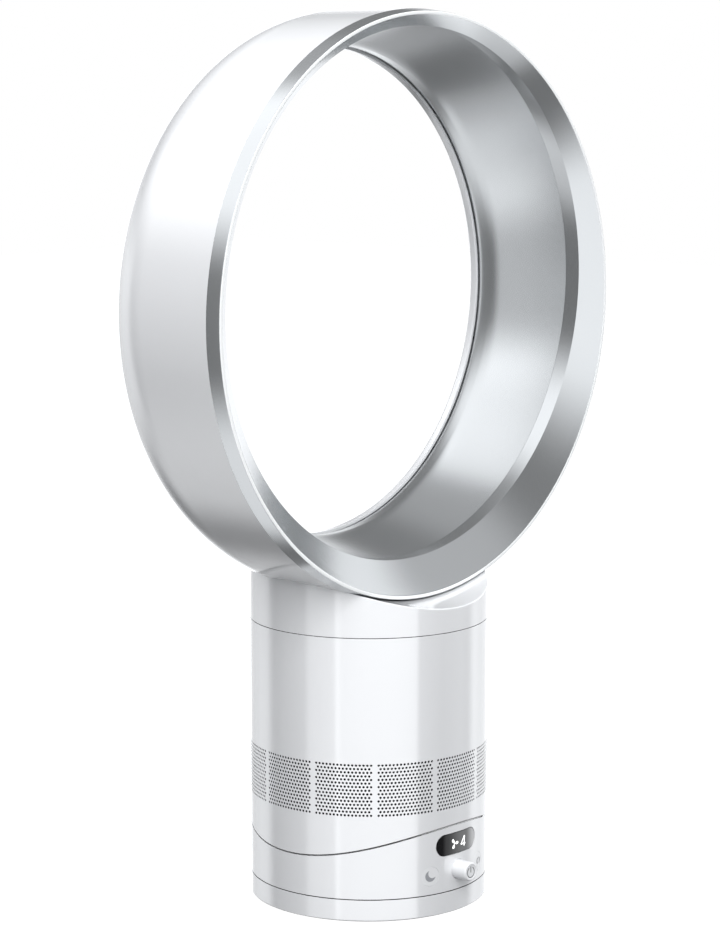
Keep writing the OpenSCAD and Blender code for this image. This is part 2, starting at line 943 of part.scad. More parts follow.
module osc_pinion() {
    color("ivory")
        translate([gear_distance, 0, 0]) {
            translate([0, 0, gear_low_z + pinion_lift])
                linear_extrude(height = gear_t)
                    polygon(tooth_ring(pinion_teeth_count, gear_module, pinion_teeth_count));
            rod(pinion_shaft_r, gear_top_z, osc_shaft_top_z);
        }
}

// Controls

module round_button(side) {
    translate([side * button_x, 0, button_z]) {
        intersection() {
            rod_y(button_d / 2, -body_r, button_flange_y);
            translate([-side * button_x, 0, -button_d])
                rod(body_r - lens_inset, 0, 2 * button_d);
        }
        rod_y(button_d / 2 + button_flange, button_flange_y - button_flange_t, button_flange_y);
        rod_y(button_stem_r, button_flange_y - button_flange_t / 2, button_end_y);
    }
}

module sleep_button() {
    color("whitesmoke")
        round_button(-1);
}

module osc_button() {
    color("whitesmoke")
        round_button(1);
}

module encoder_rotor() {
    color("ivory")
        translate([0, 0, knob_z])
            difference() {
                rod_y(rotor_disc_r, rotor_front_y, rotor_back_y);
                difference() {
                    rod_y(knob_shaft_r + rotor_gap, rotor_front_y - cut, rotor_back_y + cut);
                    translate([knob_shaft_r - knob_flat + rotor_gap, rotor_front_y - 2 * cut, -encoder_w])
                        cube([encoder_w, rotor_disc_t + 4 * cut, 2 * encoder_w]);
                }
            }
}

module control_knob() {
    color("whitesmoke")
        translate([0, 0, knob_z]) {
            translate([0, knob_face_y, 0])
                rotate([-90, 0, 0])
                    rotate_extrude()
                        polygon([
                            [0, 0],
                            [knob_d / 2 - edge_round, 0],
                            [knob_d / 2 - edge_round * edge_share, edge_round * edge_share],
                            [knob_d / 2, edge_round],
                            [knob_d / 2, knob_back_y - knob_face_y],
                            [0, knob_back_y - knob_face_y]
                        ]);
            difference() {
                rod_y(knob_shaft_r, knob_back_y - cut, knob_end_y);
                translate([knob_shaft_r - knob_flat, knob_back_y, -encoder_w])
                    cube([encoder_w, encoder_w, 2 * encoder_w]);
            }
        }
}

// Body

module inlet_holes() {
    row_pitch = (inlet_high_z - inlet_low_z) / (inlet_row_count - 1);
    column_angle = patch_angle / (inlet_column_count - 1);
    for (p = [0 : patch_count - 1])
        for (row = [0 : inlet_row_count - 1])
            for (a = spread(inlet_column_count - row % 2, column_angle))
                rotate([0, 0, p * 360 / patch_count + a])
                    translate([0, 0, inlet_low_z + row * row_pitch])
                        rod_y(inlet_hole_d / 2, -body_r - cut, -inner_r + cut);
}

module body_shell() {
    color("white")
        difference() {
            intersection() {
                tube(body_r, inner_r, wave_low_z, shell_top_z);
                tilt_drum(saddle_out_r);
            }
            inlet_holes();
        }
}

module tilt_saddle() {
    color("gainsboro")
        difference() {
            union() {
                tilt_plate(saddle_out_r, saddle_in_r, core_r);
                intersection() {
                    tube(core_r, core_r - saddle_rim_w, wave_low_z, saddle_rim_z);
                    tilt_drum(saddle_out_r);
                }
            }
            for (side = [-1, 1])
                translate([0, side * hook_screw_y, 0])
                    rod(hook_screw_r + screw_gap, wave_low_z - cut, saddle_rim_z);
        }
}

module tilt_hook() {
    color("silver")
        difference() {
            union() {
                intersection() {
                    translate([-hook_neck_w / 2, -hook_l / 2, 0])
                        cube([hook_neck_w, hook_l, tilt_axis_z / 2]);
                    difference() {
                        tilt_drum(hook_foot_r + hook_foot_t / 2);
                        tilt_drum(saddle_out_r);
                    }
                }
                intersection() {
                    translate([-hook_foot_w / 2, -hook_l / 2, 0])
                        cube([hook_foot_w, hook_l, tilt_axis_z / 2]);
                    difference() {
                        tilt_drum(hook_low_r);
                        tilt_drum(hook_foot_r);
                    }
                }
            }
            for (side = [-1, 1])
                translate([0, side * hook_screw_y, 0])
                    rod(hook_screw_r + screw_gap, tilt_axis_z - saddle_in_r - hook_screw_l - cut, tilt_axis_z / 2);
        }
}

module hook_screws() {
    color("silver")
        for (side = [-1, 1])
            translate([0, side * hook_screw_y, tilt_axis_z - saddle_in_r + fit_gap])
                screw(hook_screw_r, hook_screw_l, hook_head_r, hook_head_h);
}

module glide_pads() {
    color("ivory")
        for (side = [-1, 1])
            intersection() {
                translate([side * (hook_foot_w - glide_pad_w) / 2 - glide_pad_w / 2, -hook_l / 2, 0])
                    cube([glide_pad_w, hook_l, tilt_axis_z / 2]);
                difference() {
                    tilt_drum(hook_foot_r);
                    tilt_drum(hook_pad_r);
                }
            }
}

module silencer_foam() {
    color("#404448")
        difference() {
            tilt_plate(saddle_in_r, saddle_in_r - foam_t, core_r - saddle_rim_w - fit_gap);
            rod(foam_hole_r, wave_low_z, tilt_axis_z / 2);
            translate([0, motor_lead_y, 0])
                rod(motor_lead_r + fit_gap, wave_low_z, tilt_axis_z / 2);
        }
}

module inlet_seal() {
    color("dimgray")
        rotate_extrude()
            translate([core_r - seal_w, housing_low_z - seal_over])
                difference() {
                    square([seal_w, flange_t + 2 * seal_over]);
                    translate([-cut, seal_over])
                        square([seal_w / 2 + cut, flange_t]);
                }
}

// Inside of the duct: radius and height
function between(from, to, shares) = [for (i = [0, 1]) from[i] + (to[i] - from[i]) * shares[i]];
function duct_points() = let (eye = [impeller_eye_d / 2, eye_z], wide = [duct_r, duct_low_z]) [
    [bell_r, housing_low_z],
    between([eye[0], housing_low_z], [bell_r, housing_low_z + bell_h], bell_shares),
    [eye[0], housing_low_z + bell_h],
    eye,
    between(eye, wide, duct_low_shares),
    between(eye, wide, duct_high_shares),
    wide,
    [duct_r, duct_top_z]
];
hub_middle = between([hub_low_r, hub_low_z], [hub_top_r, hub_top_z], hub_shares);

module impeller_housing() {
    inside = duct_points();
    wall_points = [for (i = [len(inside) - 1 : -1 : 0]) [inside[i][0] + duct_wall, inside[i][1]]];
    color("#e8eaec") {
        difference() {
            union() {
                rotate_extrude()
                    polygon(concat(inside, wall_points));
                tube(core_r - seal_w / 2 - fit_gap / 2, bell_r, housing_low_z, housing_low_z + flange_t);
            }
            translate([0, motor_lead_y, 0])
                rod(motor_lead_r + fit_gap, housing_low_z - cut, housing_low_z + flange_t + cut);
        }
    }
}

// A curved blade seen from above, from one radius to another
function blade_line(r0, r1, sweep, steps) =
    [for (k = [0 : steps]) let (s = k / steps) [r0 + (r1 - r0) * s, sweep * s * s]];
module blade_plan(r0, r1, sweep, t) {
    line = blade_line(r0, r1, sweep, blade_steps);
    polygon(concat(
        [for (p = line) polar(p[0], p[1]) + polar(t / 2, p[1] + 90)],
        [for (k = [len(line) - 1 : -1 : 0]) polar(line[k][0], line[k][1]) - polar(t / 2, line[k][1] + 90)]
    ));
}

module diffuser() {
    sleeve_in_r = bucket_r + fit_gap;
    ring_out_r = duct_r - fit_gap;
    color("#d8dade") {
        tube(sleeve_in_r + sleeve_t, sleeve_in_r, vane_low_z, vane_high_z);
        tube(ring_out_r, ring_out_r - sleeve_t, vane_low_z, vane_high_z);
        translate([0, 0, vane_low_z])
            linear_extrude(height = vane_high_z - vane_low_z)
                for (i = [0 : vane_count - 1])
                    rotate([0, 0, i * 360 / vane_count])
                        blade_plan(sleeve_in_r + sleeve_t / 2, ring_out_r - sleeve_t / 2, vane_sweep_angle, vane_t);
    }
}

module motor_bucket() {
    color("#c8ccd0") {
        difference() {
            union() {
                tube(bucket_r, bucket_r - bucket_wall, bucket_low_z, bucket_top_z);
                rod(bucket_r - bucket_wall / 2, bucket_low_z, bucket_low_z + bucket_wall);
                rod(bearing_d / 2 + bearing_seat_wall, bucket_low_z, bearing_low_z + bearing_t);
            }
            rod(shaft_r + move_gap, bucket_low_z - cut, bucket_top_z);
            rod(bearing_d / 2 + run_gap, bearing_low_z, bucket_top_z);
        }
        difference() {
            tube(stator_d / 2 + fit_gap + bucket_wall, stator_d / 2 + fit_gap, bucket_low_z + bucket_wall / 2,
                stator_low_z + stator_h);
            rod(stator_d / 2 + fit_gap, bucket_low_z + bucket_wall, bucket_top_z);
        }
    }
}

module bucket_cap() {
    color("#c8ccd0")
        difference() {
            union() {
                rotate_extrude()
                    polygon([
                        [0, bucket_top_z],
                        [bucket_r, bucket_top_z],
                        [bucket_r - bucket_wall * 2, bucket_top_z + bucket_wall * 2],
                        [nose_top_r * 2, nose_top_z - bucket_wall],
                        [nose_top_r, nose_top_z],
                        [0, nose_top_z]
                    ]);
                rod(bearing_d / 2 + bearing_seat_wall, bearing_high_z, bucket_top_z + cut);
                tube(bucket_r - bucket_wall - fit_gap, bucket_r - 2 * bucket_wall, bucket_top_z - bearing_t,
                    bucket_top_z + cut);
            }
            rod(bearing_d / 2 + run_gap, bearing_high_z - cut, bearing_high_z + bearing_t);
            rod(shaft_r + move_gap, bearing_high_z, bearing_high_z + bearing_t + cut);
        }
}

module motor_stator() {
    bore = rotor_d / 2 + stator_gap;
    color("#8a5a33")
        difference() {
            tube(stator_d / 2, bore, stator_low_z, stator_low_z + stator_h);
            for (i = [0 : stator_slot_count - 1])
                rotate([0, 0, (i + 0.5) * 360 / stator_slot_count])
                    translate([0, -stator_slot_w / 2, stator_low_z - cut])
                        cube([stator_d / 2 - stator_slot_w / 2, stator_slot_w, stator_h + 2 * cut]);
        }
}

module motor_bearings() {
    color("silver")
        for (low = [bearing_low_z, bearing_high_z])
            tube(bearing_d / 2, shaft_r + run_gap, low, low + bearing_t);
}

module motor_board() {
    color("darkgreen")
        tube(motor_board_r, motor_board_in_r, motor_board_z, motor_board_z + motor_board_t);
}

module isolator_ring() {
    color("dimgray")
        tube(core_r, duct_r + duct_wall, isolator_low_z, isolator_low_z + isolator_h);
}

module motor_lead() {
    lead_low_z = saddle_rim_z - fit_gap;
    color("darkslategray")
        translate([0, motor_lead_y, 0])
            rod(motor_lead_r, lead_low_z, isolator_low_z);
}

module neck_socket() {
    color("gainsboro")
        difference() {
            tube(core_r, neck_out_r + neck_gap, socket_low_z, shell_top_z);
            tube(seal_r + seal_ring_w + fit_gap / 2, seal_r - fit_gap / 2, shell_top_z - seal_ring_h + seal_stand,
                shell_top_z + cut);
            for (i = [0 : lug_count - 1])
                rotate([0, 0, i * 360 / lug_count]) {
                    sector(chamber_r, neck_bore_r, lug_low_z - move_gap, lug_top_z + move_gap,
                        -lug_angle / 2 - lug_gap_angle, unlock_angle + lug_angle / 2 + lug_gap_angle);
                    sector(chamber_r + fit_gap, neck_bore_r, lug_low_z, shell_top_z + cut,
                        unlock_angle - lug_angle / 2 - lug_gap_angle, unlock_angle + lug_angle / 2);
                }
        }
}

module top_seal() {
    color("dimgray")
        tube(seal_r + seal_ring_w, seal_r, shell_top_z - seal_ring_h + seal_stand, shell_top_z + seal_stand);
}

// Impeller and what turns with it

module impeller() {
    eye_r = impeller_eye_d / 2;
    tip = [for (p = duct_points()) if (p[1] >= eye_z && p[1] < duct_low_z) [p[0] - blade_gap, p[1]]];
    color("#5a6068") {
        difference() {
            rotate_extrude()
                polygon([
                    [0, hub_low_z],
                    [hub_low_r, hub_low_z + hub_plate_t],
                    hub_middle,
                    [hub_top_r, hub_top_z - hub_plate_t],
                    [hub_top_r, hub_top_z],
                    [hub_boss_r + hub_plate_t, hub_top_z],
                    [0, hub_top_z]
                ]);
            rod(shaft_r, shaft_low_z, hub_top_z + cut);
        }
        intersection() {
            translate([0, 0, eye_z])
                linear_extrude(height = hub_top_z - eye_z)
                    for (i = [0 : blade_count - 1])
                        rotate([0, 0, i * 360 / blade_count])
                            blade_plan(hub_low_r - blade_bite, duct_r, -blade_sweep_angle, blade_t);
            rotate_extrude()
                polygon(concat(
                    [[hub_low_r - blade_bite, eye_z]],
                    [[eye_r - blade_gap, eye_z]],
                    tip,
                    [[duct_r - 2 * blade_gap, hub_top_z], [hub_top_r - 2 * blade_bite, hub_top_z]],
                    [hub_middle + [-blade_bite, blade_bite]]
                ));
        }
    }
}

module motor_rotor() {
    low = stator_low_z + (stator_h - rotor_h) / 2;
    color("#3c3f44")
        tube(rotor_d / 2, shaft_r, low, low + rotor_h);
}

module impeller_shaft() {
    color("silver")
        rod(shaft_r, shaft_low_z, shaft_top_z);
}

// Air loop

// What is inside is turned about the loop's axis, with y as its height
module about_loop(rise = 0) {
    translate([0, 0, loop_z + rise])
        rotate([-90, 0, 0])
            children();
}

// Quarter ellipse from the outer wall round to the rear edge
function rear_round(inset) = [
    for (k = [0 : round_steps])
        let (a = 90 * k / round_steps)
        [
            loop_r - round_radial + (round_radial - inset) * cos(a),
            loop_rear - round_axial + (round_axial - inset) * sin(a)
        ]
];

module neck_screw_places() {
    for (x = [-neck_screw_x, neck_screw_x])
        for (y = [-neck_screw_y, neck_screw_y])
            translate([x, y, 0])
                children();
}

neck_screw_z = loop_z - sqrt(pow(collar_plate_r, 2) - pow(neck_screw_x - screw_head_r, 2)) - fit_gap / 2;
loop_wall_z = loop_z - sqrt(pow(loop_r - loop_wall, 2) - pow(neck_screw_x, 2));

// The opening that lets the air up into the loop
module air_hole() {
    translate([0, 0, neck_low_z + neck_flange_t])
        linear_extrude(height = loop_z - loop_r + air_hole_round + shell_wall - neck_low_z)
            for (x = [-1, 1], y = [-1, 1])
                translate([x * (air_hole_w / 2 - air_hole_round), y * (air_hole_l / 2 - air_hole_round)])
                    circle(r = air_hole_round);
    translate([0, 0, neck_low_z + neck_flange_t])
        linear_extrude(height = loop_z - loop_r + air_hole_round + shell_wall - neck_low_z) {
            square([air_hole_w - 2 * air_hole_round, air_hole_l], center = true);
            square([air_hole_w, air_hole_l - 2 * air_hole_round], center = true);
        }
}

module neck_collar() {
    color("white")
        difference() {
            union() {
                tube(body_r, inner_r, neck_low_z, loop_z - loop_r / 2);
                intersection() {
                    rod(inner_r + shell_wall / 2, neck_low_z, loop_z);
                    loop_drum(collar_plate_r);
                }
            }
            loop_drum(collar_r);
            air_hole();
            neck_screw_places()
                rod(screw_r + screw_gap, neck_low_z, loop_z);
        }
}

module neck_duct() {
    color("gainsboro")
        difference() {
            union() {
                tube(neck_out_r, neck_bore_r, neck_tube_low_z, loop_z - loop_r / 2);
                tube(core_r, neck_out_r - neck_wall / 2, neck_low_z, neck_low_z + neck_flange_t);
                for (i = [0 : lug_count - 1])
                    rotate([0, 0, i * 360 / lug_count])
                        sector(neck_out_r + lug_reach, neck_out_r - neck_wall / 2, lug_low_z, lug_top_z,
                            -lug_angle / 2, lug_angle / 2);
            }
            loop_drum(collar_plate_r);
        }
}

module neck_screws() {
    color("silver")
        neck_screw_places()
            translate([0, 0, neck_screw_z])
                rotate([180, 0, 0])
                    screw(screw_r, neck_screw_l, screw_head_r, screw_head_h);
}

module loop_casing() {
    low_r = throat_r - rear_rise - 2 * cut;
    outside = rear_round(0);
    inside = rear_round(loop_wall);
    color("white")
        difference() {
            union() {
                about_loop()
                    rotate_extrude()
                        polygon(concat(
                            [[loop_r, strip_y]],
                            outside,
                            [[low_r, loop_rear], [low_r, loop_rear - loop_wall]],
                            [for (k = [round_steps : -1 : 0]) inside[k]],
                            [[loop_r - loop_wall, strip_y]]
                        ));
                about_loop(rear_rise)
                    tube(lip_r + loop_wall, lip_r - cut, lip_y, loop_rear - loop_wall / 2);
                intersection() {
                    neck_screw_places()
                        rod(neck_boss_r, loop_wall_z - neck_boss_h, loop_wall_z + neck_boss_h);
                    loop_drum(loop_r - loop_wall / 2);
                }
            }
            about_loop(rear_rise)
                rod(lip_r, -loop_front - cut, loop_rear + cut);
            air_hole();
            neck_screw_places()
                rod(screw_r + screw_gap, neck_low_z, neck_screw_z + neck_screw_l + cut);
        }
}

// What is inside is moved up in proportion to its place behind a given y
module lean_up(lean, from_y) {
    translate([0, 0, loop_z - lean * from_y])
        multmatrix([[1, 0, 0, 0], [0, 1, 0, 0], [0, lean, 1, 0], [0, 0, 0, 1]])
            rotate([-90, 0, 0])
                children();
}

// The cone of the flare; its axis leans, so it runs in less steeply at the top than at the bottom
module flare() {
    translate([0, flare_apex_y, loop_z + flare_apex_rise])
        rotate([flare_lean_angle - 90, 0, 0])
            translate([0, 0, -flare_reach])
                cylinder(r1 = flare_reach * tan(flare_half_angle), r2 = flare_tip * tan(flare_half_angle),
                    h = flare_reach - flare_tip);
}

module front_bezel() {
    tongue_r = loop_r - loop_wall - fit_gap;
    color("silver")
        difference() {
            union() {
                about_loop()
                    rotate_extrude()
                        polygon([
                            [flare_back_in_r, -loop_front],
                            [rim_r, -loop_front],
                            [loop_r, strip_y],
                            [tongue_r, strip_y],
                            [tongue_r, strip_y + tongue_l],
                            [tongue_r - tongue_t, strip_y + tongue_l],
                            [tongue_r - tongue_t, flare_back_y],
                            [flare_back_in_r, flare_back_y + (tongue_r - tongue_t - flare_back_in_r) * flare_back_share]
                        ]);
                about_loop(front_rise)
                    rod(guide_r + loop_wall, flare_back_y - loop_wall, guide_y);
                about_loop(front_rise)
                    rod(guide_r + loop_wall + join_flange, guide_y - join_flange_t, guide_y);
            }
            flare();
            about_loop(front_rise)
                translate([0, 0, flare_back_y - 2 * loop_wall])
                    cylinder(r1 = flare_r - fit_gap, r2 = guide_r,
                        h = guide_y + cut - flare_back_y + 2 * loop_wall);
        }
}

// Inner surface of the inner casing: radius and place along y
function casing_line() =
    let (guide = guide_r, throat = throat_r)
    concat(
        [[guide, guide_y]],
        [for (s = casing_shares) [guide + (throat - guide) * s[1], guide_y + (throat_y - guide_y) * s[0]]],
        [[throat, throat_y]],
        [[throat + (slot_flow_r - throat) * slot_shares[1], throat_y + (lip_y - throat_y) * slot_shares[0]]],
        [[slot_flow_r, lip_y]],
        [[slot_flow_r + fit_gap, inner_end_y]]
    );

module inner_casing() {
    line = casing_line();
    back = [for (k = [len(line) - 1 : -1 : 0]) [line[k][0] + loop_wall, line[k][1]]];
    last = back[len(back) - 1];
    color("silver")
        translate([0, 0, front_rise])
            lean_up((rear_rise - front_rise) / (lip_y - guide_y), guide_y)
                rotate_extrude()
                    polygon(concat(
                        line,
                        [for (k = [0 : len(back) - 2]) back[k]],
                        [
                            [last[0], guide_y + join_flange_t],
                            [last[0] + join_flange, guide_y + join_flange_t],
                            [last[0] + join_flange, guide_y]
                        ]
                    ));
}

module slot_spacers() {
    color("silver")
        about_loop(rear_rise)
            for (i = [0 : spacer_count - 1])
                rotate([0, 0, (i + 0.5) * 360 / spacer_count])
                    translate([lip_r + loop_wall + run_gap, -spacer_w / 2, lip_y + fit_gap])
                        cube([slot_gap - 2 * fit_gap, spacer_w, inner_end_y - lip_y - 2 * fit_gap]);
}

foot_ring();
foot_plate();
rubber_feet();
glide_ring();
fixed_gear();
gear_screws();
spindle_clip();
dc_socket();
supply_lead();
base_shell();
base_chassis();
spindle_bush();
tilt_cradle();
cradle_screws();
display_lens();
display_module();
switch_board();
button_switches();
encoder_housing();
control_board();
osc_motor();
motor_screws();
osc_pinion();
sleep_button();
osc_button();
encoder_rotor();
control_knob();
body_shell();
tilt_saddle();
tilt_hook();
hook_screws();
glide_pads();
silencer_foam();
inlet_seal();
impeller_housing();
diffuser();
motor_bucket();
bucket_cap();
motor_stator();
motor_bearings();
motor_board();
isolator_ring();
motor_lead();
neck_socket();
top_seal();
impeller();
motor_rotor();
impeller_shaft();
neck_collar();
neck_duct();
neck_screws();
loop_casing();
front_bezel();
inner_casing();
slot_spacers();
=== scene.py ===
"""Desk fan without outside blades: its visible pieces, their finishes and the studio."""
import json
import math

import bmesh
import bpy
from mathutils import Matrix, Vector


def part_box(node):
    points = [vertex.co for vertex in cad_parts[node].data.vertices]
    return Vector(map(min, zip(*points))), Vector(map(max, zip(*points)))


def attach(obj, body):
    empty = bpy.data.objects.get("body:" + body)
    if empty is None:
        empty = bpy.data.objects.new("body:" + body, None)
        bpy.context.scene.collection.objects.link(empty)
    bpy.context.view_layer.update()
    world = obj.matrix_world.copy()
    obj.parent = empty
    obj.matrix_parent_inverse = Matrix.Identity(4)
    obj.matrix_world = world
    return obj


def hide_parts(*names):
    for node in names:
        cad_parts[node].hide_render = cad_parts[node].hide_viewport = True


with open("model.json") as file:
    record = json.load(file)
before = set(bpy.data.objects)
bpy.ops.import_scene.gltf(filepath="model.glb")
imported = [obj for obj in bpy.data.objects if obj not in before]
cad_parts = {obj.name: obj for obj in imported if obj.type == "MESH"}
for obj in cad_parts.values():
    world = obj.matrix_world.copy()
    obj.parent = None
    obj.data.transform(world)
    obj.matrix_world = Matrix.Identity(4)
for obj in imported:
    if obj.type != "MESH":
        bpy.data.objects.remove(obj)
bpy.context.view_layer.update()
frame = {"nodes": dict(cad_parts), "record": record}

bl_info = {
    "name": "Bladeless desk fan",
    "version": (1, 0, 0),
    "blender": (4, 5, 0),
    "location": "3D View > Sidebar > Desk fan",
    "description": "Builds the shells, controls, air loop, finishes and studio of a desk fan",
    "category": "Object",
}

MM = 0.001
# Differences below this come from rounding
ROUNDING = 1e-9
MERGE = 0.001 * MM
BODY_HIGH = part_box("body_shell")[1]
FOOT_LOW, FOOT_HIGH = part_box("foot_ring")
LOOP_LOW, LOOP_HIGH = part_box("loop_casing")
BEZEL_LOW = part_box("front_bezel")[0]
SOCKET_LOW, SOCKET_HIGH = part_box("dc_socket")
KNOB_LOW, KNOB_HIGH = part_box("control_knob")


class FanSizes(bpy.types.PropertyGroup):
    """Sizes of the visible shells, controls and loop"""
    body_radius: bpy.props.FloatProperty(
        name="Body radius", description="Outer radius of the foot, base, body and neck",
        default=BODY_HIGH.x, unit="LENGTH")
    wall: bpy.props.FloatProperty(
        name="Shell wall", description="Wall of the moulded shells",
        default=2.5 * MM, unit="LENGTH")
    seam: bpy.props.FloatProperty(
        name="Seam", description="Gap between the foot and the base",
        default=0.5 * MM, unit="LENGTH")
    neck_seam: bpy.props.FloatProperty(
        name="Neck seam", description="Gap between the body and the neck collar",
        default=0.32 * MM, unit="LENGTH")
    wave_seam: bpy.props.FloatProperty(
        name="Curved seam", description="Gap along the curved seam between base and body",
        default=0.95 * MM, unit="LENGTH")
    foot_top: bpy.props.FloatProperty(
        name="Foot top", description="Height of the foot ring's upper edge",
        default=FOOT_HIGH.z, unit="LENGTH")
    body_top: bpy.props.FloatProperty(
        name="Body top", description="Height of the body shell's upper edge",
        default=BODY_HIGH.z, unit="LENGTH")
    tilt_height: bpy.props.FloatProperty(
        name="Tilt axis height", description="Height of the axis that the body tilts about",
        default=212.7 * MM, unit="LENGTH")
    wave_radius: bpy.props.FloatProperty(
        name="Curved seam radius", description="Radius of the curved seam about the tilt axis",
        default=174.2 * MM, unit="LENGTH")
    hole_low: bpy.props.FloatProperty(
        name="Lowest air holes", description="Height of the lowest row of air holes",
        default=66.4 * MM, unit="LENGTH")
    hole_high: bpy.props.FloatProperty(
        name="Highest air holes", description="Height of the highest row of air holes",
        default=97.4 * MM, unit="LENGTH")
    hole_radius: bpy.props.FloatProperty(
        name="Air hole radius", description="Radius of one air hole",
        default=0.76 * MM, unit="LENGTH")
    hole_rows: bpy.props.IntProperty(
        name="Rows of air holes", description="Rows in a patch of air holes", default=15, min=3)
    hole_columns: bpy.props.IntProperty(
        name="Air holes in a row", description="Holes in each long row of a patch",
        default=16, min=4)
    patches: bpy.props.IntProperty(
        name="Patches", description="Patches of air holes around the body", default=12, min=4)
    button_radius: bpy.props.FloatProperty(
        name="Button radius", description="Radius of the round buttons",
        default=6 * MM, unit="LENGTH")
    button_side: bpy.props.FloatProperty(
        name="Button place", description="Distance of each button from the middle",
        default=22 * MM, unit="LENGTH")
    button_height: bpy.props.FloatProperty(
        name="Button height", description="Height of the buttons",
        default=25.6 * MM, unit="LENGTH")
    knob_height: bpy.props.FloatProperty(
        name="Knob height", description="Height of the knob's axis",
        default=26.4 * MM, unit="LENGTH")
    knob_radius: bpy.props.FloatProperty(
        name="Knob radius", description="Radius of the knob", default=5.85 * MM, unit="LENGTH")
    window_width: bpy.props.FloatProperty(
        name="Window width", description="Width of the display window's opening",
        default=36.6 * MM, unit="LENGTH")
    window_tall: bpy.props.FloatProperty(
        name="Window height", description="Height of the display window's opening",
        default=13.7 * MM, unit="LENGTH")
    window_middle: bpy.props.FloatProperty(
        name="Window place", description="Height of the middle of the display window",
        default=43.2 * MM, unit="LENGTH")
    loop_radius: bpy.props.FloatProperty(
        name="Loop radius", description="Outer radius of the air loop",
        default=LOOP_HIGH.x, unit="LENGTH")
    loop_height: bpy.props.FloatProperty(
        name="Loop height", description="Height of the middle of the air loop",
        default=LOOP_LOW.z + LOOP_HIGH.x, unit="LENGTH")
    loop_front: bpy.props.FloatProperty(
        name="Loop front", description="Place of the loop's front rim",
        default=BEZEL_LOW.y, unit="LENGTH")
    strip_back: bpy.props.FloatProperty(
        name="Strip edge", description="Place where the silver strip meets the white wall",
        default=LOOP_LOW.y, unit="LENGTH")
    saddle_overlap: bpy.props.FloatProperty(
        name="Saddle overlap", description="How far the collar reaches into the loop's wall",
        default=0.1 * MM, unit="LENGTH")
    saddle_slope: bpy.props.FloatProperty(
        name="Saddle slope", description="How much the collar's top falls towards the front",
        default=0.055)


class FanColours(bpy.types.PropertyGroup):
    """Colours of the finishes"""
    white: bpy.props.FloatVectorProperty(
        name="White shell", description="Gloss white of the shells",
        subtype="COLOR", size=3, default=(0.81, 0.82, 0.84))
    silver: bpy.props.FloatVectorProperty(
        name="Silver", description="Satin silver of the loop's inside",
        subtype="COLOR", size=3, default=(0.62, 0.635, 0.645))
    glass: bpy.props.FloatVectorProperty(
        name="Window", description="Dark tint of the display window",
        subtype="COLOR", size=3, default=(0.006, 0.006, 0.007))
    print_grey: bpy.props.FloatVectorProperty(
        name="Printed signs", description="Grey of the signs on the knob and buttons",
        subtype="COLOR", size=3, default=(0.30, 0.31, 0.33))
    lit_sign: bpy.props.FloatVectorProperty(
        name="Lit signs", description="White of the lit signs in the window",
        subtype="COLOR", size=3, default=(1.0, 1.0, 1.0))


class FanStudio(bpy.types.PropertyGroup):
    """Studio around the fan"""
    camera_place: bpy.props.FloatVectorProperty(
        name="Camera place", description="Where the camera stands",
        subtype="TRANSLATION", size=3, default=(-1.2599, -1.1368, 0.5179))
    camera_aim: bpy.props.FloatVectorProperty(
        name="Camera aim", description="Point that the camera looks at",
        subtype="TRANSLATION", size=3, default=(-0.00362, 0.00399, 0.26965))
    camera_lens: bpy.props.FloatProperty(
        name="Lens", description="Focal length of the camera in millimetres", default=107.70)
    ambient: bpy.props.FloatProperty(
        name="Ambient light", description="Strength of the light from near the floor",
        default=0.28)
    ambient_top: bpy.props.FloatProperty(
        name="Ambient light above", description="Strength of the light from straight above",
        default=0.66)
    dim_room: bpy.props.FloatProperty(
        name="Dim room", description="What gloss reflects between the lit panels", default=0.18)
    main_light: bpy.props.FloatProperty(
        name="Main light", description="Power of the tall softbox above the camera",
        default=54.0)
    top_light: bpy.props.FloatProperty(
        name="Top light", description="Power of the softbox overhead", default=10.0)
    side_light: bpy.props.FloatProperty(
        name="Side light", description="Power of the softbox on the right", default=7.0)


# Selecting and editing

def pick_nothing():
    if bpy.context.mode != "OBJECT":
        bpy.ops.object.mode_set(mode="OBJECT")
    bpy.ops.object.select_all(action="DESELECT")


def pick(*objects):
    pick_nothing()
    for obj in objects:
        obj.select_set(True)
    bpy.context.view_layer.objects.active = objects[0]


def edit(obj, chosen="DESELECT"):
    """Goes to edit mode with nothing selected, or with all where chosen is SELECT."""
    pick(obj)
    bpy.ops.object.mode_set(mode="EDIT")
    bpy.ops.mesh.select_all(action=chosen)


def done():
    bpy.ops.object.mode_set(mode="OBJECT")


def named(name):
    """The object just added, with its place taken into its mesh."""
    obj = bpy.context.object
    obj.name = obj.data.name = name
    bpy.ops.object.transform_apply(location=True, rotation=True, scale=True)
    return obj


def select_where(obj, kind, test):
    """In edit mode, selects the faces, or the edges whose two ends, pass the test."""
    bpy.ops.mesh.select_mode(type=kind)
    bpy.ops.mesh.select_all(action="DESELECT")
    mesh = bmesh.from_edit_mesh(obj.data)
    for part in mesh.faces if kind == "FACE" else mesh.edges:
        part.select_set(test(part) if kind == "FACE" else all(test(v.co) for v in part.verts))
    bmesh.update_edit_mesh(obj.data)


def select_loose_ends(boundary=False, wire=False):
    """In edit mode with edges, selects the open edges, or those without a face."""
    bpy.ops.mesh.select_non_manifold(
        extend=False, use_wire=wire, use_boundary=boundary, use_multi_face=False,
        use_non_contiguous=False, use_verts=False)


def extrude(x=0.0, y=0.0, z=0.0):
    """In edit mode, extrudes the selected edges."""
    bpy.ops.mesh.extrude_edges_move(TRANSFORM_OT_translate={"value": (x, y, z)})


def grow(share, centre):
    """In edit mode, scales what is selected about a point."""
    bpy.ops.transform.resize(value=(share, share, share), center_override=centre)


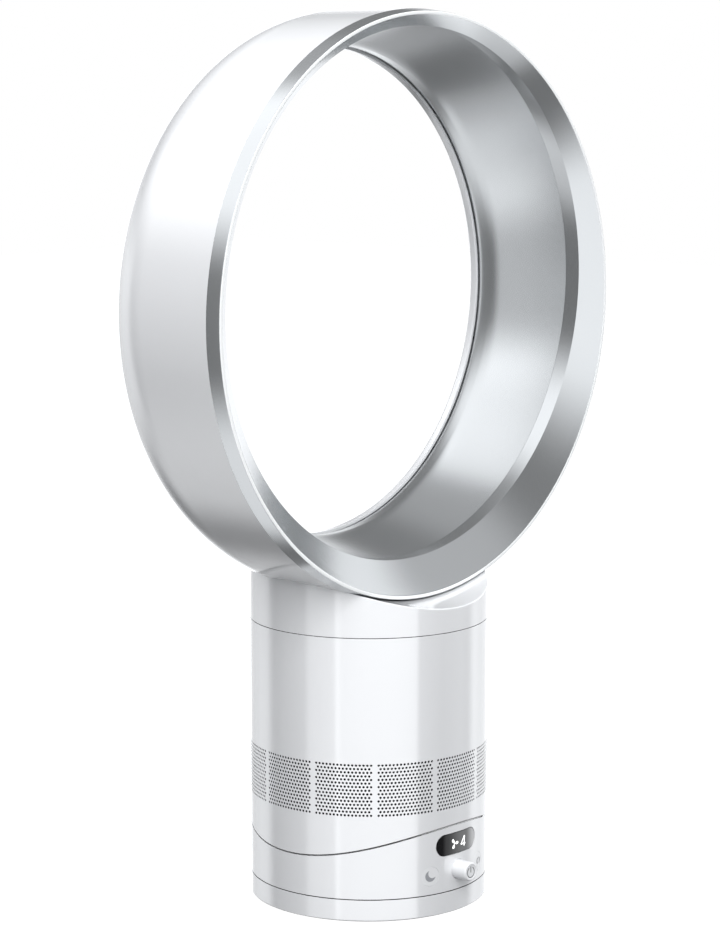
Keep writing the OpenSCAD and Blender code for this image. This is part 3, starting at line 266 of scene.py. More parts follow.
def turn_outwards(apart=MERGE):
    """In edit mode, merges doubles and points all faces outwards."""
    bpy.ops.mesh.select_all(action="SELECT")
    bpy.ops.mesh.remove_doubles(threshold=apart)
    bpy.ops.mesh.normals_make_consistent(inside=False)


def apply(obj, kind, **settings):
    """Adds a modifier, sets it and applies it."""
    pick(obj)
    modifier = obj.modifiers.new(kind.title(), kind)
    for key, value in settings.items():
        setattr(modifier, key, value)
    bpy.ops.object.modifier_apply(modifier=modifier.name)


def away(co):
    """Distance from the body's axis."""
    return math.hypot(co.x, co.y)


def round_edges(obj, test, width, segments=2):
    """Bevels the edges whose two ends pass the test."""
    edit(obj)
    select_where(obj, "EDGE", test)
    bpy.ops.mesh.bevel(offset=width, offset_type="OFFSET", segments=segments, affect="EDGES",
                       clamp_overlap=False)
    done()


def round_rim(obj, sizes, test, width, segments=2, depth=0.5):
    """Bevels the outer edges of a round shell whose height passes the test.

    The outer edges are those within that share of the wall."""
    rim = sizes.body_radius - sizes.wall * depth
    round_edges(obj, lambda co: away(co) > rim and test(co.z), width, segments)


def smooth(obj, angle=35):
    """Smooth shading that keeps sharp edges and lets the large faces set the normals."""
    pick(obj)
    bpy.ops.object.shade_smooth_by_angle(angle=math.radians(angle))
    apply(obj, "WEIGHTED_NORMAL", weight=100, keep_sharp=True)


def cut_away(obj, *cutters):
    for cutter in cutters:
        apply(obj, "BOOLEAN", operation="DIFFERENCE", solver="EXACT", object=cutter)
        bpy.data.objects.remove(cutter)


def turned(name, rings, sides, about="Z", closed=True):
    """Draws a circle out ring by ring about the Z or the Y axis.

    A ring is its radius, its centre and, where it leans, its angle about X."""
    rings = [(ring[0], Vector(ring[1]), ring[2] if len(ring) > 2 else 0.0) for ring in rings]
    pick_nothing()
    radius, centre, lean = rings[0]
    turn = math.pi / 2 if about == "Y" else 0.0
    bpy.ops.mesh.primitive_circle_add(
        vertices=sides, radius=radius, location=centre, rotation=(turn + lean, 0, 0))
    obj = named(name)
    edit(obj)
    bpy.ops.mesh.select_mode(type="EDGE")
    bpy.ops.mesh.select_all(action="SELECT")
    for (old_radius, old_centre, old_lean), (radius, centre, lean) in zip(rings, rings[1:]):
        extrude(*(centre - old_centre))
        if abs(radius / old_radius - 1) > ROUNDING:
            grow(radius / old_radius, centre)
        if abs(lean - old_lean) > ROUNDING:
            bpy.ops.transform.rotate(
                value=old_lean - lean, orient_axis="X", center_override=centre)
    select_loose_ends(boundary=True)
    if closed:
        bpy.ops.mesh.bridge_edge_loops()
    else:
        bpy.ops.mesh.edge_face_add()
    turn_outwards()
    done()
    return obj


DRUM_LENGTH = 400 * MM


def drum(radius, height, axis, sides=720):
    """A helper cylinder that other pieces are fitted to."""
    pick_nothing()
    turn = {"X": (0, math.pi / 2, 0), "Z": (0, 0, 0)}[axis]
    bpy.ops.mesh.primitive_cylinder_add(
        vertices=sides, radius=radius, depth=DRUM_LENGTH, location=(0, 0, height), rotation=turn)
    return named("helper_drum")


def fit_to(obj, target, test, along="Z", forwards=False):
    """Moves the vertices that pass the test along one axis until they meet the target.

    The target is then removed."""
    group = obj.vertex_groups.new(name="fit")
    group.add([v.index for v in obj.data.vertices if test(v.co)], 1.0, "REPLACE")
    settings = {"use_project_" + axis.lower(): axis == along for axis in "XYZ"}
    apply(obj, "SHRINKWRAP", wrap_method="PROJECT", target=target, vertex_group="fit",
          use_positive_direction=forwards, use_negative_direction=not forwards, **settings)
    obj.vertex_groups.clear()
    bpy.data.objects.remove(target)


def joined(name, *objects):
    pick(*objects)
    bpy.ops.object.join()
    return named(name)


def copied(obj, name, place, turn):
    """A copy with its own mesh, moved and turned."""
    pick(obj)
    bpy.ops.object.duplicate(linked=False)
    bpy.context.object.location = place
    bpy.context.object.rotation_euler = turn
    return named(name)


# Finishes

# Width of the step where a surface turns to painted shade or painted highlight, and height of the
# grain
HAIR, GRAIN_HEIGHT = 0.05 * MM, 0.1 * MM
# How far under the outer surface the painted shade starts: in the air holes, and in the base's
# seams
HOLE_SHADE_DEPTH, SEAM_SHADE_DEPTH = 0.15 * MM, 2.2 * MM
# Depth of the painted highlight along the bezel's front rim
PAINTED_GLINT_DEPTH = 0.2 * MM
# Colour of the painted shade in holes and seams, and of the painted highlight on the bezel's front
# rim
PAINTED_SHADE = (0.012, 0.012, 0.013, 1)
PAINTED_RIM_GLINT = (0.9, 0.92, 0.93, 1)


def fill_inputs(tree, node, inputs):
    """Sets a node's inputs by name or number, or links them where a socket is given."""
    for key, value in inputs.items():
        if isinstance(value, bpy.types.NodeSocket):
            tree.links.new(value, node.inputs[key])
        else:
            node.inputs[key].default_value = value


def add_node(tree, kind, inputs, **settings):
    node = tree.nodes.new("ShaderNode" + kind)
    for key, value in settings.items():
        setattr(node, key, value)
    fill_inputs(tree, node, inputs)
    return node


def spread(tree, value, low, high):
    """Brings a value from 0 to 1 between low and high."""
    return add_node(tree, "MapRange", {
        "Value": value, "To Min": low, "To Max": high}).outputs["Result"]


def falls_to(tree, value, start, end):
    """Goes from 0 at start to 1 at end."""
    return add_node(tree, "MapRange", {
        "Value": value, "From Min": start, "From Max": end}).outputs["Result"]


def blended(tree, share, first, second):
    """Mixes two colours. A colour mix has its colours in inputs 6 and 7."""
    return add_node(tree, "Mix", {
        "Factor": share, 6: first, 7: second}, data_type="RGBA").outputs[2]


def node_finish(name, colour, roughness, mottle, bump, metallic=0.0, coat=0.0, grain=2600.0,
                rough_spread=0.04, emission=None, coat_roughness=0.04, coat_ior=1.5,
                dark_within=None, bright_before=None):
    """A moulded or painted surface: slow mottling of its colour, fine grain in gloss and bump.

    Nearer to the upright axis than the given radius it takes a painted shade, so that holes and
    seams read as openings. In front of the given place along Y it takes a painted highlight, a
    bright rim."""
    material = bpy.data.materials.new(name)
    material.use_nodes = True
    tree = material.node_tree
    place = add_node(tree, "TexCoord", {}).outputs["Object"]
    slow = add_node(tree, "TexNoise", {"Vector": place, "Scale": 22.0, "Detail": 4.0})
    fine = add_node(tree, "TexNoise", {
        "Vector": place, "Scale": grain, "Detail": 3.0}).outputs["Fac"]
    ramp = add_node(tree, "ValToRGB", {"Fac": slow.outputs["Fac"]})
    for stop, position, share in zip(ramp.color_ramp.elements, (0.3, 0.7), (-mottle, mottle)):
        stop.position = position
        stop.color = (*[min(1.0, part * (1 + share)) for part in colour], 1)
    surface, specular = ramp.outputs["Color"], 0.5
    # Painted shade: nearer the axis than the given radius the colour turns dark and the coat and
    # gloss go, so that holes and seams read as openings
    if dark_within:
        flat = add_node(tree, "VectorMath", {0: place, 1: (1, 1, 0)}, operation="MULTIPLY")
        distance = add_node(tree, "VectorMath", {0: flat.outputs["Vector"]}, operation="LENGTH")
        inside = falls_to(tree, distance.outputs["Value"], dark_within, dark_within - HAIR)
        surface = blended(tree, inside, surface, PAINTED_SHADE)
        coat = specular = add_node(
            tree, "Math", {0: 1.0, 1: inside}, operation="SUBTRACT").outputs[0]
    # Painted highlight: in front of the given place along Y the colour turns bright and stops being
    # metal, as a glint on the rim
    if bright_before:
        split = add_node(tree, "SeparateXYZ", {0: place})
        rim = falls_to(tree, split.outputs["Y"], bright_before, bright_before - HAIR)
        surface = blended(tree, rim, surface, PAINTED_RIM_GLINT)
        metallic = spread(tree, rim, metallic, 0.0)
    inputs = {
        "Base Color": surface, "Metallic": metallic,
        "Roughness": spread(tree, fine, max(0.02, roughness - rough_spread),
                            roughness + rough_spread),
        "Coat Weight": coat, "Coat Roughness": coat_roughness, "Coat IOR": coat_ior,
        "Specular IOR Level": specular}
    if bump:
        inputs["Normal"] = add_node(tree, "Bump", {
            "Strength": bump, "Distance": GRAIN_HEIGHT, "Height": fine}).outputs["Normal"]
    if emission is not None:
        inputs.update({"Emission Color": (*colour, 1), "Emission Strength": emission})
    fill_inputs(tree, tree.nodes["Principled BSDF"], inputs)
    return material


FINISHES = {}


def finish(name):
    """The finish of that name, made when it is first asked for."""
    if name in FINISHES:
        return FINISHES[name]
    colours = bpy.context.scene.fan_colours
    radius = bpy.context.scene.fan_sizes.body_radius

    def recipe(colour, roughness, mottle, bump, **more):
        return dict(colour=colour, roughness=roughness, mottle=mottle, bump=bump, **more)

    def gloss(**more):
        return recipe(colours.white, 0.25, 0.004, 0.01, coat=1.0, coat_ior=2.0,
                      rough_spread=0.03, **more)

    def satin(roughness, **more):
        return recipe(colours.silver, roughness, 0.01, 0.02, metallic=0.9, grain=5200.0,
                      rough_spread=0.03, **more)
    recipes = {
        "gloss_white": gloss(),
        # The shells take a painted shade inside their holes and seams; the base's reaches further
        # in, into its curved seam
        "shell_white": gloss(dark_within=radius - HOLE_SHADE_DEPTH),
        "base_white": gloss(dark_within=radius - SEAM_SHADE_DEPTH),
        "satin_white": recipe(colours.white, 0.35, 0.006, 0.03, coat=0.2),
        "satin_silver": satin(0.25),
        # The bezel's front rim takes a painted highlight
        "bezel_silver": satin(0.18, bright_before=BEZEL_LOW.y + PAINTED_GLINT_DEPTH),
        # The spacers in the slot are painted dark as shade, so that the slot reads as a dark groove
        "deep_silver": recipe((0.06, 0.065, 0.07), 0.4, 0.05, 0.05, metallic=0.5),
        "window_glass": recipe(colours.glass, 0.08, 0.2, 0.0, coat=1.0, rough_spread=0.02,
                               coat_roughness=0.02, coat_ior=2.8),
        "printed_grey": recipe(colours.print_grey, 0.4, 0.05, 0.05),
        "printed_dark": recipe([part * 0.4 for part in colours.print_grey], 0.4, 0.05, 0.05),
        "lit_sign": recipe(colours.lit_sign, 0.4, 0.01, 0.02, emission=0.9),
        "grey_plastic": recipe((0.42, 0.43, 0.45), 0.45, 0.04, 0.08),
        "black_plastic": recipe((0.022, 0.022, 0.025), 0.4, 0.12, 0.1),
        "natural_plastic": recipe((0.72, 0.69, 0.60), 0.38, 0.04, 0.05),
        "impeller_grey": recipe((0.11, 0.115, 0.125), 0.42, 0.05, 0.06),
        "rubber": recipe((0.03, 0.03, 0.032), 0.72, 0.15, 0.25, grain=1800.0),
        "open_foam": recipe((0.045, 0.045, 0.05), 0.95, 0.5, 1.0, grain=900.0),
        "zinc_steel": recipe((0.50, 0.51, 0.52), 0.33, 0.06, 0.08, metallic=1.0),
        "copper_wire": recipe((0.45, 0.19, 0.08), 0.35, 0.15, 0.3, metallic=1.0),
        "circuit_green": recipe((0.02, 0.13, 0.05), 0.35, 0.15, 0.1, coat=0.3),
    }
    FINISHES[name] = node_finish(name, **recipes[name])
    return FINISHES[name]


def dress(obj, finish_name, body, slot, *nodes):
    """Gives a piece its finish and its body, and hides the CAD nodes that it stands for. Its slot
    is not used.
    """
    obj.data.materials.clear()
    obj.data.materials.append(finish(finish_name))
    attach(obj, body)
    if nodes:
        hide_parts(*nodes)


# Flat shapes in front of the body, which are then laid on it

FRONT = -90 * MM
UPRIGHT = (math.pi / 2, 0, 0)
# Sides of the helpers that pieces are laid on
FINE_SIDES = 1440


def disc(name, radius, x, z, y=FRONT, sides=72):
    pick_nothing()
    bpy.ops.mesh.primitive_circle_add(
        vertices=sides, radius=radius, fill_type="NGON", location=(x, y, z), rotation=UPRIGHT)
    return named(name)


def pill(name, width, height, x, z, y=FRONT, turn=0.0, steps=20):
    """A flat bar with round ends, or with plain corners where it has few steps."""
    pick_nothing()
    bpy.ops.mesh.primitive_plane_add(size=1, location=(x, y, z), rotation=(math.pi / 2, turn, 0))
    bpy.context.object.scale = (width, height, 1)
    obj = named(name)
    edit(obj, "SELECT")
    bpy.ops.mesh.bevel(offset=min(width, height) * 0.499, offset_type="OFFSET",
                       segments=steps, affect="VERTICES", clamp_overlap=False)
    done()
    return obj


def arc(name, radius, width, x, z, y, keep, sides=72):
    """The part of a flat ring that keep allows by its angle in degrees.

    The angle is 0 to the right and 90 upwards."""
    inner, outer = radius - width / 2, radius + width / 2
    pick_nothing()
    bpy.ops.mesh.primitive_circle_add(
        vertices=sides, radius=inner, location=(x, y, z), rotation=UPRIGHT)
    obj = named(name)
    edit(obj)
    bpy.ops.mesh.select_mode(type="EDGE")
    bpy.ops.mesh.select_all(action="SELECT")
    extrude()
    grow(outer / inner, (x, y, z))

    def lost(face):
        middle = face.calc_center_median()
        return not keep(math.degrees(math.atan2(middle.z - z, middle.x - x)))
    select_where(obj, "FACE", lost)
    bpy.ops.mesh.delete(type="FACE")
    done()
    return obj


def draw_back(obj, depth):
    """Pulls a flat shape back along +Y into a closed block."""
    edit(obj, "SELECT")
    bpy.ops.mesh.normals_make_consistent(inside=False)
    bpy.ops.mesh.extrude_region_move(TRANSFORM_OT_translate={"value": (0, depth, 0)})
    turn_outwards()
    done()


def lay_on(obj, radius, step):
    """Cuts a flat shape into upright strips and lays it on a cylinder of that radius."""
    reach = [v.co.x for v in obj.data.vertices]
    low, width = min(reach), max(reach) - min(reach)
    count = max(1, math.ceil(width / step))
    edit(obj)
    for k in range(1, count):
        bpy.ops.mesh.select_all(action="SELECT")
        bpy.ops.mesh.bisect(plane_co=(low + width * k / count, 0, 0), plane_no=(1, 0, 0))
    done()
    fit_to(obj, drum(radius, 0.0, "Z", FINE_SIDES), lambda co: True, "Y", forwards=True)


def curved_block(obj, radius, depth, step=0.8 * MM):
    """Lays a flat shape on a cylinder of that radius and gives it that depth."""
    lay_on(obj, radius, step)
    draw_back(obj, depth)
    return obj


# Shells

EDGE_ROUND = 0.8 * MM
SEAM_ROUND = 0.25 * MM
WAVE_ROUND = 0.12 * MM
# How near to an edge or a height something counts as being on it
NEAR, TOUCH = 0.1 * MM, 0.01 * MM
LEDGE_WIDTH, LEDGE_TOP = 5.5 * MM, 1.9 * MM
INLET_RADIUS, INLET_DEPTH = 4.8 * MM, 30 * MM
KNOB_GAP, BUTTON_GAP, WINDOW_GAP = 0.2 * MM, 0.05 * MM, 0.4 * MM
CUT_DEPTH = 40 * MM
# The base's curved edge is above this distance from its lower one, and the body's is below
# this distance under the air holes
BASE_BAND, BODY_BAND = 10 * MM, 2.5 * MM
# The body's plain foot below the air holes starts with these two bands
LOW_BANDS = (2 * MM, 1 * MM)
# Rings of the collar's top and of its underside, as shares of the body's radius
COLLAR_TOP = (0.985, 0.95, 0.9, 0.84, 0.78, 0.7, 0.6, 0.5, 0.42)
COLLAR_UNDER = (0.42, 0.5, 0.6, 0.7, 0.78, 0.84, 0.9)
COLLAR_START, COLLAR_THICK = 10 * MM, 2 * MM
# Half the length of the helper cone that stands for the loop's slope
CONE_HALF = 200 * MM


def around_count(sizes):
    """Sides of the round shells, so that they match the lattice of air holes."""
    return sizes.patches * (sizes.hole_columns + 1) * 2


def upright(rings):
    """Rings about the body's axis from pairs of radius and height."""
    return [(radius, (0, 0, height)) for radius, height in rings]


class FAN_OT_foot(bpy.types.Operator):
    """Turn the foot ring and open its inlet at the back"""
    bl_idname = "fan.foot"
    bl_label = "Foot ring"

    def execute(self, context):
        s = context.scene.fan_sizes
        outer, inner, low, top = s.body_radius, s.body_radius - s.wall, FOOT_LOW.z, s.foot_top
        ledge = inner - LEDGE_WIDTH
        foot = turned("foot_shell", upright([
            (ledge, low), (outer, low), (outer, top), (inner, top), (inner, LEDGE_TOP),
            (ledge, LEDGE_TOP)]), around_count(s))
        round_rim(foot, s, lambda z: z < low + NEAR, EDGE_ROUND, 4)
        round_rim(foot, s, lambda z: z > top - NEAR, SEAM_ROUND)
        pick_nothing()
        bpy.ops.mesh.primitive_cylinder_add(
            vertices=96, radius=INLET_RADIUS, depth=INLET_DEPTH,
            location=(0, outer, (SOCKET_LOW.z + SOCKET_HIGH.z) / 2), rotation=UPRIGHT)
        cut_away(foot, named("helper_inlet"))
        smooth(foot)
        dress(foot, "shell_white", "foot", "white_gloss", "foot_ring")
        return {"FINISHED"}


class FAN_OT_base(bpy.types.Operator):
    """Turn the base shell, cut its curved upper edge and open its window, knob and button holes"""
    bl_idname = "fan.base"
    bl_label = "Base shell"

    def execute(self, context):
        s = context.scene.fan_sizes
        outer, inner = s.body_radius, s.body_radius - s.wall
        low, high = s.foot_top + s.seam, s.tilt_height / 2
        base = turned("base_shell_skin", upright([
            (outer, low), (outer, high), (inner, high), (inner, low)]), around_count(s))
        fit_to(base, drum(s.wave_radius + s.wave_seam / 2, s.tilt_height, "X"),
               lambda co: co.z > low + BASE_BAND)
        round_rim(base, s, lambda z: z < low + NEAR, SEAM_ROUND)
        round_rim(base, s, lambda z: z > low + BASE_BAND, WAVE_ROUND)
        cutters = [pill("helper_window", s.window_width, s.window_tall, 0, s.window_middle),
                   disc("helper_knob", s.knob_radius + KNOB_GAP, 0, s.knob_height)]
        for side in (-1, 1):
            cutters.append(disc("helper_button", s.button_radius + BUTTON_GAP,
                                side * s.button_side, s.button_height))
        for cutter in cutters:
            draw_back(cutter, CUT_DEPTH)
        cut_away(base, *cutters)
        smooth(base)
        dress(base, "base_white", "base", "white_gloss", "base_shell")
        return {"FINISHED"}


class FAN_OT_body(bpy.types.Operator):
    """Draw the pierced band cell by cell, bend it round and draw the body shell out of it"""
    bl_idname = "fan.body"
    bl_label = "Body shell"

    def cell(self, name, width, height, radius):
        """One square of the band, with a round hole where it has a radius, in the XZ plane."""
        pick_nothing()
        bpy.ops.mesh.primitive_plane_add(size=1, rotation=UPRIGHT)
        bpy.context.object.scale = (width, height, 1)
        square = named(name)
        edit(square, "SELECT")
        bpy.ops.mesh.subdivide(number_cuts=1)
        if radius:
            bpy.ops.mesh.select_mode(type="FACE")
            bpy.ops.mesh.select_all(action="SELECT")
            bpy.ops.mesh.inset(thickness=width * 0.15, depth=0)
            select_where(square, "EDGE",
                         lambda co: abs(co.x) < width * 0.4 and abs(co.z) < height * 0.4)
            bpy.ops.transform.tosphere(value=1.0)
            mesh = bmesh.from_edit_mesh(square.data)
            grow(radius / max(v.co.length for v in mesh.verts if v.select), (0, 0, 0))
            select_where(square, "FACE",
                         lambda face: face.calc_center_median().length < radius * 0.8)
            bpy.ops.mesh.delete(type="FACE")
        done()
        return square

    def pierced_band(self, context, sizes, width, pitch):
        """All patches of air holes, bent round, one face thick."""
        cells = sizes.hole_columns + 1
        pierced = self.cell("pierced_cell", width, pitch, sizes.hole_radius)
        plain = self.cell("plain_cell", width, pitch, 0)
        pieces = []
        for row in range(sizes.hole_rows):
            shift = (row % 2) / 2 - (sizes.hole_columns - 1) / 2 - sizes.patches // 2 * cells
            for column in range(cells):
                source = pierced if column < sizes.hole_columns - row % 2 else plain
                piece = source.copy()
                piece.data = source.data.copy()
                context.collection.objects.link(piece)
                piece.location = ((column + shift) * width, 0, sizes.hole_low + row * pitch)
                pieces.append(piece)
        for source in (pierced, plain):
            bpy.data.objects.remove(source)
        band = joined("body_shell_skin", *pieces)
        apply(band, "ARRAY", count=sizes.patches, use_relative_offset=False,
              use_constant_offset=True, constant_offset_displace=(width * cells, 0, 0))
        edit(band, "SELECT")
        bpy.ops.mesh.remove_doubles(threshold=width * 0.02)
        done()
        reach = [v.co.x for v in band.data.vertices]
        apply(band, "SIMPLE_DEFORM", deform_method="BEND", deform_axis="Z",
              angle=(max(reach) - min(reach)) / sizes.body_radius)
        pick(band)
        band.location = (0, -sizes.body_radius, 0)
        bpy.ops.object.transform_apply(location=True, rotation=True, scale=True)
        edit(band)
        turn_outwards(width * 0.02)
        done()
        return band

    def execute(self, context):
        s = context.scene.fan_sizes
        width = 2 * math.pi * s.body_radius / (s.patches * (s.hole_columns + 1))
        pitch = (s.hole_high - s.hole_low) / (s.hole_rows - 1)
        body = self.pierced_band(context, s, width, pitch)
        apply(body, "SOLIDIFY", thickness=s.wall, offset=-1.0, use_rim=True,
              use_even_offset=False)
        low, high = s.hole_low - pitch / 2, s.hole_high + pitch / 2

        def off_edge(z):
            return min(abs(z - low), abs(z - high))
        edit(body)
        select_where(body, "FACE", lambda face: abs(face.normal.z) > 0.9
                     and off_edge(face.calc_center_median().z) < 0.1 * pitch)
        bpy.ops.mesh.delete(type="ONLY_FACE")
        select_where(body, "EDGE", lambda co: off_edge(co.z) < TOUCH)
        select_loose_ends(wire=True)
        bpy.ops.mesh.delete(type="EDGE")
        for edge, steps in ((high, (s.body_top - high,)), (low, [-step for step in LOW_BANDS])):
            select_where(body, "EDGE", lambda co: abs(co.z - edge) < TOUCH)
            for step in steps:
                extrude(z=step)
            bpy.ops.mesh.bridge_edge_loops()
        done()
        belt = low - BODY_BAND
        fit_to(body, drum(s.wave_radius - s.wave_seam / 2, s.tilt_height, "X"),
               lambda co: co.z < belt)
        round_rim(body, s, lambda z: z < belt, WAVE_ROUND)
        round_rim(body, s, lambda z: z > s.body_top - NEAR, SEAM_ROUND)
        edit(body)
        turn_outwards()
        done()
        smooth(body)
        dress(body, "shell_white", "upper", "white_gloss", "body_shell")
        return {"FINISHED"}


class FAN_OT_neck(bpy.types.Operator):
    """Turn the neck collar and lay its top on the round of the loop"""
    bl_idname = "fan.neck"
    bl_label = "Neck collar"

    def execute(self, context):
        s = context.scene.fan_sizes
        outer, inner = s.body_radius, s.body_radius - s.wall
        low = s.body_top + s.neck_seam
        start = low + COLLAR_START
        under = low + COLLAR_START - COLLAR_THICK
        rings = [(outer, low), (outer, start)]
        rings += [(outer * share, start) for share in COLLAR_TOP]
        rings += [(outer * share, under) for share in COLLAR_UNDER]
        rings += [(inner, under), (inner, low)]
        collar = turned("neck_collar_skin", upright(rings), around_count(s))
        for depth, test in ((0, lambda co: co.z > start - NEAR),
                            (s.wall, lambda co: abs(co.z - under) < NEAR)):
            pick_nothing()
            reach = s.loop_radius - s.saddle_overlap + depth
            bpy.ops.mesh.primitive_cone_add(
                vertices=FINE_SIDES, radius1=reach - s.saddle_slope * (CONE_HALF - s.loop_front),
                radius2=reach + s.saddle_slope * (CONE_HALF + s.loop_front), depth=2 * CONE_HALF,
                location=(0, 0, s.loop_height), rotation=UPRIGHT)
            fit_to(collar, named("helper_saddle"), test, forwards=True)
        round_rim(collar, s, lambda z: z > start, EDGE_ROUND, 4, depth=0.25)
        round_rim(collar, s, lambda z: z < low + NEAR, SEAM_ROUND, depth=0.25)
        smooth(collar)
        dress(collar, "gloss_white", "loop", "white_gloss", "neck_collar")
        return {"FINISHED"}


# Air loop: its profiles are in millimetres

LOOP_SIDES = 512
CASING_WALL = 2 * MM
# The straight band of the casing behind the silver strip
CASING_BAND = 2 * MM
# The casing's rear corner is a quarter of an ellipse, this far inwards and forwards
REAR_IN, REAR_FORWARD = 18 * MM, 33 * MM
REAR_RISE = 4.8 * MM
# The casing from its rear corner round the lip over the slot and back: radius, place from
# front to back and rise of the ring's middle
CASING_LIP = (
    (157.2, 47.0, 2.2), (154.5, 47.0, 4.4), (153.3, 46.85, 4.5), (152.3, 46.4, 4.6),
    (151.65, 45.6, 4.6), (151.4, 44.6, 4.65), (151.35, 42.6, 4.7), (151.35, 40.95, 4.8),
    (151.5, 40.8, 4.8), (153.2, 40.8, 4.8), (153.4, 44.0, 4.8), (155.0, 44.9, 3.0))
# The bezel's rim: inwards from the loop's radius, back from its front, and rise
BEZEL_RIM = ((1.30, 0.55, 0), (1.50, 0.16, 0), (1.80, 0, 0), (3.05, 0, 0),
             (3.45, 0.12, 0.05), (3.85, 0.42, 0.15))
# The flare runs from its first ring by these steps: radius, place, rise and lean
FLARE_START, FLARE_RUN = (174.7, -48, 0, 0), (-13.5, 10.9, 6.8, 0.0232)
# The guide band behind the flare and the hidden back of both: radius, place, rise and lean
GUIDE_BAND = (
    (161.25, -36.7, 6.9, 0.0228), (162.0, -31.0, 7.7, 0.017), (162.7, -25.5, 8.4, 0.0117),
    (164.3, -25.5, 8.4, 0.0117), (163.3, -35.4, 6.9, 0.0228), (173.9, -45.4, 0.6, 0.002))
# The silver strip ends this far before the white wall, and lies this far inside its radius.
# Its own inner side has this radius
STRIP_GAP, STRIP_INSET, STRIP_INNER = 0.06 * MM, 0.02 * MM, 176.0 * MM
# The inner casing starts behind the guide band, narrows down to its throat, and ends under
# the lip of the slot
FOIL_START, FOIL_THROAT, FOIL_LIP, FOIL_END = -25.4 * MM, 27 * MM, 40.8 * MM, 42.2 * MM
# Its side towards the air and its hidden back: radius at the start and fall to the throat in
# millimetres, and steps
FOIL_AIR, FOIL_BACK = (162.7, 11.5, 16), (164.7, 10.6, 8)
# On that way the middle of the rings falls from this rise, in millimetres, and their lean ends
FOIL_RISE, FOIL_DROP, FOIL_LEAN = 8.5, 3.0, 0.0117
# How far the way to the throat has narrowed: share of its length and of its fall
AIRFOIL_SHARES = ((0, 0), (0.9, 0.94), (0.96, 0.985), (1, 1))
# The tail from the throat to the lip: radius, place behind the throat and rise
FOIL_TAIL = ((151.3, 2.0, 5.4), (151.55, 5.0, 5.25), (151.9, 8.0, 5.1), (152.35, 10.4, 4.95),
             (153.0, 12.0, 4.9), (153.9, 13.0, 4.85))
# The end under the lip: radius in millimetres, and place
FOIL_TIP = ((154.85, FOIL_LIP), (155.1, FOIL_END), (156.9, FOIL_END), (156.9, FOIL_LIP))


def loop_ring(sizes, radius, y, rise=0.0, lean=0.0):
    """A ring about the middle of the loop, in metres."""
    return (radius, (0, y, sizes.loop_height + rise), lean)


def loop_ring_mm(sizes, radius, y, rise, lean=0.0):
    return loop_ring(sizes, radius * MM, y * MM, rise * MM, lean)


class FAN_OT_loop_casing(bpy.types.Operator):
    """Turn the white outer casing of the loop with its rear round and the lip of the slot"""
    bl_idname = "fan.loop_casing"
    bl_label = "Loop casing"

    def execute(self, context):
        s = context.scene.fan_sizes
        r, back = s.loop_radius, LOOP_HIGH.y

        def rear_round(inset, steps):
            for k in range(steps + 1):
                turn = math.radians(90 * k / steps)
                yield (r - REAR_IN + (REAR_IN - inset) * math.cos(turn),
                       back - REAR_FORWARD + (REAR_FORWARD - inset) * math.sin(turn))
        rings = [loop_ring(s, r, s.strip_back), loop_ring(s, r, s.strip_back + CASING_BAND)]
        rings += [loop_ring(s, radius, y) for radius, y in rear_round(0, 14)]
        rings += [loop_ring_mm(s, *ring) for ring in CASING_LIP]
        rings += [loop_ring(s, radius, y)
                  for radius, y in reversed(list(rear_round(CASING_WALL, 8)))]
        rings.append(loop_ring(s, r - CASING_WALL, s.strip_back))
        casing = turned("loop_casing_skin", rings, LOOP_SIDES, "Y")
        smooth(casing)
        dress(casing, "gloss_white", "loop", "white_gloss", "loop_casing")
        return {"FINISHED"}


def airfoil_height(place):
    """Smooth curve through the shares."""
    points = AIRFOIL_SHARES
    k = max(i for i in range(len(points) - 1) if points[i][0] <= place)
    (x1, y1), (x2, y2) = points[k], points[k + 1]
    x0, y0 = points[max(k - 1, 0)]
    x3, y3 = points[min(k + 2, len(points) - 1)]
    slope1 = (y2 - y0) / (x2 - x0)
    slope2 = (y3 - y1) / (x3 - x1)
    length = x2 - x1
    t = (place - x1) / length
    return ((2 * t ** 3 - 3 * t ** 2 + 1) * y1 + (t ** 3 - 2 * t ** 2 + t) * slope1 * length
            + (3 * t ** 2 - 2 * t ** 3) * y2 + (t ** 3 - t ** 2) * slope2 * length)


